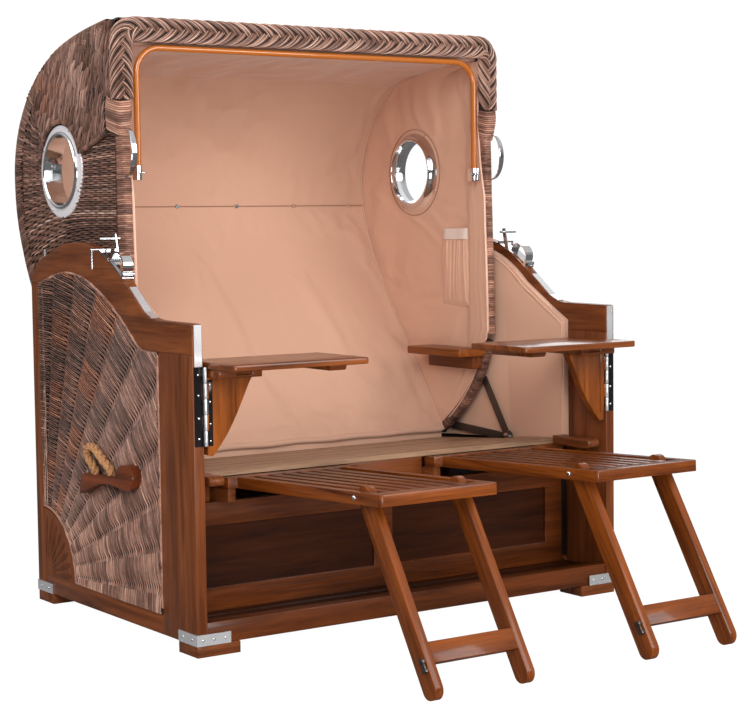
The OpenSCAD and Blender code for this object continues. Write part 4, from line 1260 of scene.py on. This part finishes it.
clothCurve = joined(
    (464, 1476), ((620, 1475), (800, 1462), (900, 1428), 30), ((990, 1382), (1080, 1268), (1084, 1150), 24),
    ((1082, 1050), (1058, 990), (1030, 935), 16), ((980, 822), (780, 576), (661, 398), 40))
clothRun = lengths(clothCurve)
liningLook = {"half": 566.2, "thick": 7, "seam": 1070, "bend": 0.9, "slack": 0.007, "pressure": 0.02,
              "frames": 14, "cap": 0.006, "roll": 8.5, "skirt": (1112, 30)}


def addBackLining(s):
    # the sheet begins behind the front border
    start = clothRun[next(i for i, p in enumerate(clothCurve) if p.x > 505) - 1]

    def place(u, v):
        at = start + (clothRun[-1] - start) * v
        p, ahead = along(clothCurve, clothRun, at)
        x = (2 * u - 1) * s["half"]
        edge = min(1, (1 - abs(2 * u - 1)) * 14) * min(1, v * 12) * min(1, (1 - v) * 16)
        high = swellAt(p.y, 1405, 70)
        wrinkle = 2.6 * high * noiseAt(x / 260, at / 17, 3)
        wrinkle += 1.8 * noiseAt(x / 300, at / 190, 7)
        wrinkle += 1.6 * swellAt(p.y, 440, 40) * noiseAt(x / 180, at / 14, 5)
        wrinkle -= 2.0 * swellAt(p.y, s["seam"], 9)
        return row(x, p.x - ahead.y * wrinkle * edge, p.y + ahead.x * wrinkle * edge)

    made = gridPiece("back_lining_cloth", 120, 190, place)
    seam = s["seam"] / 1000
    edgeX = s["half"] / 1000 - 0.008

    def held(co):
        return abs(co.x) > edgeX or abs(co.z - seam) < 0.005 and co.y > 0.6 or co.z > 1.470 or co.z < 0.405

    settle(made, held, s)
    thicken(made, s["thick"], 1)
    outward(made)
    lined(made, cloth, ["back_lining"], 70)
    line = [p for p in clothCurve if p.y < 1474]
    for side, sign in bothSides:
        piping = cordPiece(side + "_lining_piping", [row(sign * 563.6, p.x - 1, p.y) for p in line], 3.0)
        lined(piping, cloth)
    wide, hang = s["skirt"]
    line = [row(x, 657 + 1.5 * math.sin(x / 45), 401 + 1.2 * math.sin(x / 31)) for x in
            range(-wide // 2, wide // 2 + 1, 16)]
    roll = cordPiece("lining_foot_roll", line, s["roll"])
    lined(roll, cloth)

    def under(u, v):
        return row(-560 + 1120 * u, 660 + 24.5 * v, 397.2 - 12.4 * v)

    binding = gridPiece("lining_foot_binding", 40, 3, under)
    thicken(binding, 1.0, 0)
    lined(binding, cloth)

    def hanging(u, v):
        return row(-wide / 2 + wide * u, 664 + 1.2 * math.sin(u * 31), 400 - hang * v)

    skirt = gridPiece("lining_foot_skirt", 60, 4, hanging)
    thicken(skirt, 2.0, 0)
    lined(skirt, clothSide)
    seamLine = cordPiece("lining_seam", [row(x, 1071.5, s["seam"]) for x in range(-560, 561, 40)], 1.3)
    lined(seamLine, seamCloth)


sideLook = {"port": (802, 1165), "hole": 102, "ring": 130, "face": 567, "low": 402, "high": 1473, "thick": 5,
            "bend": 1.2, "slack": 0.005, "pressure": 0.02, "frames": 12, "cap": 0.004}


def frontEdge(z):
    # where the lining's front edge is folded against the wound edge
    if z >= 700:
        return between((439, 441, 444, 448, 451, 468, 477, 477, 477), (z - 700) / 776)
    inset = 25 * min(1, (700 - z) / 60)
    for a, b in zip(lowerCurve, lowerCurve[1:]):
        if b.y <= z <= a.y:
            return a.x + (b.x - a.x) * (a.y - z) / max(a.y - b.y, 1e-6) + inset
    return lowerCurve[-1].x - 6


def rearEdge(z):
    for a, b in zip(clothCurve, clothCurve[1:]):
        if b.y <= z <= a.y and a.y - b.y > 1e-6:
            return a.x + (b.x - a.x) * (a.y - z) / (a.y - b.y)
    return clothCurve[-1].x if z < 600 else 800


def addSideLinings(s):
    def place(u, v):
        z = s["low"] + (s["high"] - s["low"]) * v
        front, rear = frontEdge(z), rearEdge(z)
        if rear < front:
            rear = front + 2
        y = front + (rear - front) * u**1.25
        x = s["face"] - 6.6 * (1 - share((y - 520) / 30)) * share((z - 640) / 50)
        free = share((y - front) / 14) * min(1, (rear - y) / 30)
        ridge = front + 30 + 10 * noiseAt(z / 130, 1, 2)
        x -= free * 2.6 * swellAt(y, ridge, 6) * (0.5 + noiseAt(z / 160, 5, 2))
        ridge += 22 + 8 * noiseAt(z / 90, 8, 2)
        x -= free * 2.0 * swellAt(y, ridge, 7) * (0.5 + noiseAt(z / 120, 9, 2))
        x -= free * 0.8 * noiseAt(y / 120, z / 200, 4)
        away = (Vector((y, z)) - Vector(s["port"])).length
        if away < s["ring"] + 14:
            x = s["face"] + 1.6 * swellAt(away, s["ring"], 3)
        return row(x, y, z)

    made = gridPiece("right_side_lining", 96, 170, place)
    port = row(0, *s["port"])

    def away(co):
        return math.hypot(co.y - port.y, co.z - port.z)

    editMesh(made)
    bpy.ops.mesh.select_all(action="DESELECT")
    bpy.ops.object.mode_set(mode="OBJECT")
    for vertex in made.data.vertices:
        vertex.select = away(vertex.co) < s["hole"] / 1000
    bpy.ops.object.mode_set(mode="EDIT")
    bpy.ops.mesh.delete(type="VERT")
    bpy.ops.object.mode_set(mode="OBJECT")

    def held(co):
        z = co.z * 1000
        y = (co.y + midY) * 1000
        edge = y < max(frontEdge(z) + 8, 522) or y > rearEdge(z) - 14 or z > 1466 or z < 420
        return edge or away(co) < s["ring"] / 1000 + 0.004

    settle(made, held, s)
    thicken(made, s["thick"], 1)
    outward(made)
    lined(made, clothSide, ["hood_side_linings"], 70)
    other = mirrored(made, "left_side_lining", clothSide, ["hood_side_linings"])
    line = [row(560.4 if z > 690 else 565.4, frontEdge(z) + 1, z) for z in range(436, 1476, 8)]
    piping = cordPiece("right_front_piping", line, 2.6)
    lined(piping, paleCloth)
    mirrored(piping, "left_front_piping", paleCloth)


pocketLook = {"y": (532, 664), "z": (769, 1000), "face": 566.4, "out": 9.5, "hem": 0.86}


def addPockets(s):
    dice = random.Random(17)
    folds = sorted(dice.uniform(0.03, 0.97) for _ in range(11))

    def place(u, v):
        edge = min(1, u * 9, (1 - u) * 9, v * 14, (1 - v) * 22)
        y = s["y"][0] + (s["y"][1] - s["y"][0]) * (0.5 + (u - 0.5) * (1 - 0.05 * swellAt(v, 0.82, 0.08)))
        z = s["z"][0] + (s["z"][1] - s["z"][0]) * v
        ripple = sum(swellAt(u + 0.02 * math.sin(5 * v + i), f, 0.022) for i, f in enumerate(folds))
        fade = share((s["hem"] - v) / 0.06) if v > 0.5 else min(1, 0.35 + v * 1.2)
        out = 0.35 + 0.40 * math.sin(math.pi * min(1, v / s["hem"])) ** 0.7 + 0.28 * ripple * fade
        if v > s["hem"]:
            out = 0.42 + 0.10 * math.sin(u * 9)
        return row(s["face"] + 0.6 - s["out"] * min(1.15, out) * edge, y, z)

    made = gridPiece("right_pocket", 84, 60, place)
    thicken(made, 1.2, 1)
    outward(made)
    lined(made, clothSide, ["lining_pockets"], 70)
    other = mirrored(made, "left_pocket", clothSide, ["lining_pockets"])

    def hem(u, v):
        z = 965 + 31 * v
        edge = min(1, u * 9, (1 - u) * 9)
        return row(s["face"] - 4.6 * edge - 1.4 - 0.8 * math.sin(u * 9), s["y"][0] + 6 + 116 * u, z)

    band = gridPiece("right_pocket_hem", 24, 4, hem)
    thicken(band, 1.2, 0)
    lined(band, label)
    mirrored(band, "left_pocket_hem", label)


addBackLining(liningLook)
print("back lining done")
addSideLinings(sideLook)
print("side linings done")
addPockets(pocketLook)
print("pockets done")


def addArmBoards():
    # padded boards with a piping along the inner face's top and front edge
    made = eased("side_lining_boards", "arm_lining_pads", 0.005, 3)
    finishPiece(made, bodyOf["side_lining_boards"], ["side_lining_boards"], clothSide)
    face = [v.co for v in nodes["side_lining_boards"].data.vertices if 0.6 < v.co.x < 0.606 and v.co.z > 0.69]
    tops = {}
    for co in face:
        key = round(co.y, 3)
        tops[key] = max(tops.get(key, 0), co.z)
    top = [Vector((y, z)) for y, z in sorted(tops.items())]
    top = [p for p in top if not any(abs(p.x - q.x) < 0.012 and q.y > p.y + 0.02 for q in top)]
    line = [Vector((top[0].x + 0.008, 0.43)), Vector((top[0].x + 0.008, top[0].y - 0.012))]
    line += [p + Vector((0.006, -0.010)) for p in top[1:]]
    for side, sign in bothSides:
        piping = cordPiece(side + "_arm_piping", [Vector((sign * 0.6040, p.x, p.y)) for p in line], 2.6)
        finishPiece(piping, bodyOf["side_lining_boards"], (), clothSide)


addArmBoards()
print("arm linings done")

ropeLook = {"radius": 11.5, "strands": 3, "lay": 58, "strand": 6.4}
ropeRoute = [
    (666, 487, 366.4), (666, 487, 378), (666, 487, 390), (666.5, 489, 400), (669, 497, 411), (672, 507, 421),
    (675, 513, 433), (677, 512, 445), (678.5, 503, 455), (679, 489, 460), (678.5, 471, 459), (677.5, 455, 451),
    (675.5, 441, 439), (672.5, 427, 427), (669.5, 414, 418), (667, 404, 410), (666, 400, 400), (666, 400, 390),
    (666, 400, 380.4)]


def addRope(side, sign, s):
    path = [row(sign * x, y, z) for x, y, z in ropeRoute]
    total = lengths(path)
    steps = int(total[-1] * 1000 / 4)
    fine = [along(path, total, total[-1] * i / steps)[0] for i in range(steps + 1)]
    frames = frameAlong(fine, sideways)
    sides = 9
    verts, faces = [], []
    for strand in range(s["strands"]):
        base = len(verts)
        for i, (p, (ahead, across, over)) in enumerate(zip(fine, frames)):
            turn = 2 * math.pi * (strand / s["strands"] + total[-1] * 1000 * i / steps / s["lay"])
            off = (s["radius"] - s["strand"]) / 1000
            centre = p + (across * math.cos(turn) + over * math.sin(turn)) * off
            for k in range(sides):
                a = 2 * math.pi * k / sides
                fibre = s["strand"] / 1000 * (1 + 0.03 * math.sin(3 * a + i * 0.9))
                verts.append(centre + (across * math.cos(a) + over * math.sin(a)) * fibre)
        faces += ringFaces(base, steps, sides)
        faces.append(tuple(base + k for k in range(sides))[::-1])
        faces.append(tuple(base + steps * sides + k for k in range(sides)))
    mesh = bpy.data.meshes.new(side + "_rope_strands")
    mesh.from_pydata(verts, [], faces)
    made = placed(side + "_rope_strands", mesh)
    node = side + "_rope"
    finishPiece(made, bodyOf[node], [node], manila, 60)
    tuple(path[0])
    [tuple(p) for p in fine]


forBoth(addRope, ropeLook)
print("ropes done")

print("stage: bow and handles")
bow = {"half": 537, "y": 468, "top": 1467, "low": 1152, "corner": 65, "radius": 8.3, "ferrule": (0.0097, 0.038)}


def addBow(s):
    x, y, r, top = s["half"], s["y"], s["corner"], s["top"]
    left = [row(-x, y, s["low"])] + [row(-x + r - r * math.cos(a), y, top - r + r * math.sin(a)) for a in
                                     [math.pi / 2 * i / 12 for i in range(13)]]
    line = left + [Vector((-p.x, p.y, p.z)) for p in reversed(left)]
    made = cordPiece("awning_bow_rod", line, s["radius"])
    finishPiece(made, bodyOf["awning_bow"], ["awning_bow"], bowPaint)
    radius, depth = s["ferrule"]
    for side, sign in bothSides:
        sleeve = shaped(bpy.ops.mesh.primitive_cylinder_add, side + "_bow_ferrule", vertices=32, radius=radius,
                        depth=depth, location=row(sign * x, y, s["low"] - 2))
        bevelled(sleeve, 0.0015)
        finishPiece(sleeve, bodyOf["awning_bow"], (), chrome)


grab = {"x": 583, "y": 451, "z": 1200, "half": 64, "reach": 52, "thick": 3.2}


def addHandle(side, sign, s):
    def place(u, v):
        # wide in its middle, where it stands off the most
        a = math.pi * v
        x = s["x"] + (2 * u - 1) * (2.6 + 5.2 * math.sin(a))
        return row(sign * x, s["y"] - s["reach"] * math.sin(a) ** 0.8, s["z"] + s["half"] * math.cos(a))

    made = gridPiece(side + "_grab_band", 6, 40, place)
    thicken(made, s["thick"], 0)
    bevelled(made, 0.0009, 2, 30)
    finishPiece(made, "hood", ["grab_handles"], chrome)


addBow(bow)
forBoth(addHandle, grab)
print("bow and handles done")


def turned(name, profile, centre, sign=1):
    # a profile of (x, radius) in mm, turned about the x axis through centre
    mesh = bpy.data.meshes.new(name)
    count = len(profile)
    edges = [(i, (i + 1) % count) for i in range(count)]
    mesh.from_pydata([(sign * x / 1000, 0, r / 1000) for x, r in profile], edges, [])
    made = placed(name, mesh)
    spin = made.modifiers.new("spin", "SCREW")
    spin.axis = "X"
    spin.angle = 2 * math.pi
    spin.steps = 96
    spin.render_steps = 96
    spin.use_merge_vertices = True
    spin.merge_threshold = 0.00002
    applyAll(made)
    for vertex in made.data.vertices:
        vertex.co += centre
    outward(made)
    return made


def screwHead(name, place, axis, radius, body):
    # a domed head, flattened along the axis that it faces
    size = (0.55, 1, 1) if axis == "x" else (1, 0.55, 1)
    made = shaped(bpy.ops.mesh.primitive_uv_sphere_add, name, size, segments=20, ring_count=10,
                  radius=radius / 1000, location=place)
    return finishPiece(made, body, (), chrome)


porthole = {
    "centre": (802, 1165), "screws": (28, 118, 208, 298), "bolt": (595.5, 117, 3.6), "stud": (565.2, 121, 3.8),
    "seam": (566.3, 129, 1.2),
    "sleeve": [(600, 93), (548, 93), (546, 94.5), (545.5, 97), (547, 99.5), (553, 102), (559, 106), (563, 112),
               (565, 117), (566.9, 117), (566.9, 101), (592, 101), (594, 103), (598, 103.5), (601, 101),
               (602.5, 97)],
    "flange": [(588, 127), (592.5, 127), (594.5, 125), (594.8, 121), (594.8, 108), (596.2, 104), (596.2, 100),
               (588, 100)]}


def addPorthole(side, sign, s):
    y, z = s["centre"]
    made = turned(side + "_porthole_sleeve", s["sleeve"], row(0, y, z), sign)
    finishPiece(made, "hood", ["porthole_inner_rings"], chrome, 50)
    made = turned(side + "_porthole_flange", s["flange"], row(0, y, z), sign)
    finishPiece(made, "hood", ["porthole_outer_rings"], satin, 50)
    for number, turn in enumerate(s["screws"]):
        a = math.radians(turn)
        for kind in ("bolt", "stud"):
            x, at, radius = s[kind]
            place = row(sign * x, y + at * math.cos(a), z + at * math.sin(a))
            screwHead("%s_port_%s_%d" % (side, kind, number), place, "x", radius, "hood")
    x, at, radius = s["seam"]
    seam = [row(sign * x, p.x, p.y) for p in arcOf((y, z), at, 0, 360, 60)]
    lined(cordPiece(side + "_port_seam", seam, radius), seamCloth)


forBoth(addPorthole, porthole)
print("portholes done")

print("stage: fittings and carving")


hinge = {
    "x": 620, "y": -6, "low": 500, "high": 686, "knuckles": 5, "radius": 4.3, "gap": 1.2,
    "plate": ((599.4, 612.2), (-3.6, -0.8), (500, 656)), "plateScrews": (606, (512, 552, 604, 644), 2.6),
    "postScrews": (636, (518, 566, 620, 668), 3.2),
}


def addHinge(side, sign, s):
    table = bodyOf[side + "_table_bracket"]
    low, high = zip(*s["plate"])
    middle = [(a + b) / 2 for a, b in zip(low, high)]
    sizes = [(b - a) / 1000 for a, b in zip(low, high)]
    plate = shaped(bpy.ops.mesh.primitive_cube_add, side + "_bracket_plate", sizes,
                   location=row(sign * middle[0], *middle[1:]), size=1)
    bevelled(plate, 0.0005)
    finishPiece(plate, table, (), blackPlate if sign < 0 else woodMaterial("warm", "z"))
    x, heights, radius = s["plateScrews"]
    for z in heights if sign < 0 else ():
        screwHead("%s_bracket_screw_%d" % (side, z), row(sign * x, low[1], z), "y", radius, table)
    x, heights, radius = s["postScrews"]
    for z in heights:
        screwHead("%s_post_screw_%d" % (side, z), row(sign * x, -2.2, z), "y", radius, "base")
    pitch = (s["high"] - s["low"]) / s["knuckles"]
    for i in range(s["knuckles"]):
        place = row(sign * s["x"], s["y"], s["low"] + (i + 0.5) * pitch)
        made = shaped(bpy.ops.mesh.primitive_cylinder_add, "%s_hinge_knuckle_%d" % (side, i), vertices=24,
                      radius=s["radius"] / 1000, depth=(pitch - s["gap"]) / 1000, location=place)
        bevelled(made, 0.0007)
        finishPiece(made, table if i % 2 else "base", (), steel)


def addLegClips(side, x):
    # a small dark catch on the outside of each footrest's left leg
    sine, cosine = 0.525, 0.851
    for number, (run, size) in enumerate(((396, (9, 15, 9)), (418, (9, 15, 9)), (407, (5, 11, 22)))):
        place = row(x, -401 - sine * run - cosine * 18, 411 - cosine * run + sine * 18)
        made = shaped(bpy.ops.mesh.primitive_cube_add, "%s_leg_clip_%d" % (side, number),
                      [value / 1000 for value in size], size=1, location=place,
                      rotation=(math.radians(-legLean), 0, 0))
        bevelled(made, 0.0012)
        finishPiece(made, bodyOf[side + "_footrest_legs"], (), darkSteel, 40)


def addFootrestBolts(side, sign):
    for x, way in ((148, -1), (472, 1)):
        screwHead("%s_rest_bolt_%d" % (side, x), row(sign * (x + way * 0.4), -401, 411), "x", 6.5,
                  bodyOf[side + "_footrest_frame"])


def addPlateScrews(side, sign):
    z = (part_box("corner_plates")[0][2] + 0.0135) * 1000
    for end, y, way in (("front", 0, -1), ("rear", baseDeep, 1)):
        for x in (575, 606, 636):
            place = row(sign * x, y + way * 2.2, z)
            screwHead("%s_%s_plate_screw_%d" % (side, end, x), place, "y", 3.2, "base")
        for step in (22, 68):
            place = row(sign * 652.2, y - way * step, z)
            screwHead("%s_%s_side_screw_%d" % (side, end, step), place, "x", 3.2, "base")


sunburst = {"petals": 8, "middle": 104, "half": 60, "narrow": 3.0, "wide": 12.5, "face": 651.2, "rise": 2.8}


def addSunburst(side, sign, s):
    for number in range(s["petals"]):
        turn = math.radians(90 / s["petals"] * (number + 0.5))
        made = shaped(bpy.ops.mesh.primitive_uv_sphere_add, "%s_sunburst_petal_%d" % (side, number),
                      segments=20, ring_count=14, radius=1)
        for vertex in made.data.vertices:
            x, far, across = vertex.co
            reach = s["middle"] + s["half"] * far
            across *= s["narrow"] + (s["wide"] - s["narrow"]) * (far + 1) / 2
            y = stileY - reach * math.cos(turn) - across * math.sin(turn)
            z = railZ + reach * math.sin(turn) - across * math.cos(turn)
            vertex.co = row(sign * (s["face"] + s["rise"] * x * sign), y, z)
        if sign < 0:
            outward(made)
        # the petals take the darker deep look: painted shade for their carved grooves
        finishPiece(made, "base", (), woodMaterial("deep", "z"), 60)


def addFlapRolls(side, sign):
    lower = [Vector(p) for p in ((523, 1252), (545, 1247), (580, 1236), (620, 1225), (673, 1210))]
    for name, line in (("_flap_roll", lower), ("_port_roll", arcOf((802, 1165), 130, 161, 9, 19))):
        path = [row(sign * 597.5, p.x, p.y) for p in line]
        woven(woundTube(side + name, path, sideways, 4.6, 4.6, 4.4, edging, 67 + sign), "hood")


forBoth(addHinge, hinge)
for side, x in (("left", -452), ("right", 166)):
    addLegClips(side, x)
forBoth(addFootrestBolts)
forBoth(addPlateScrews)
forBoth(addSunburst, sunburst)
forBoth(addFlapRolls)
print("fittings done")
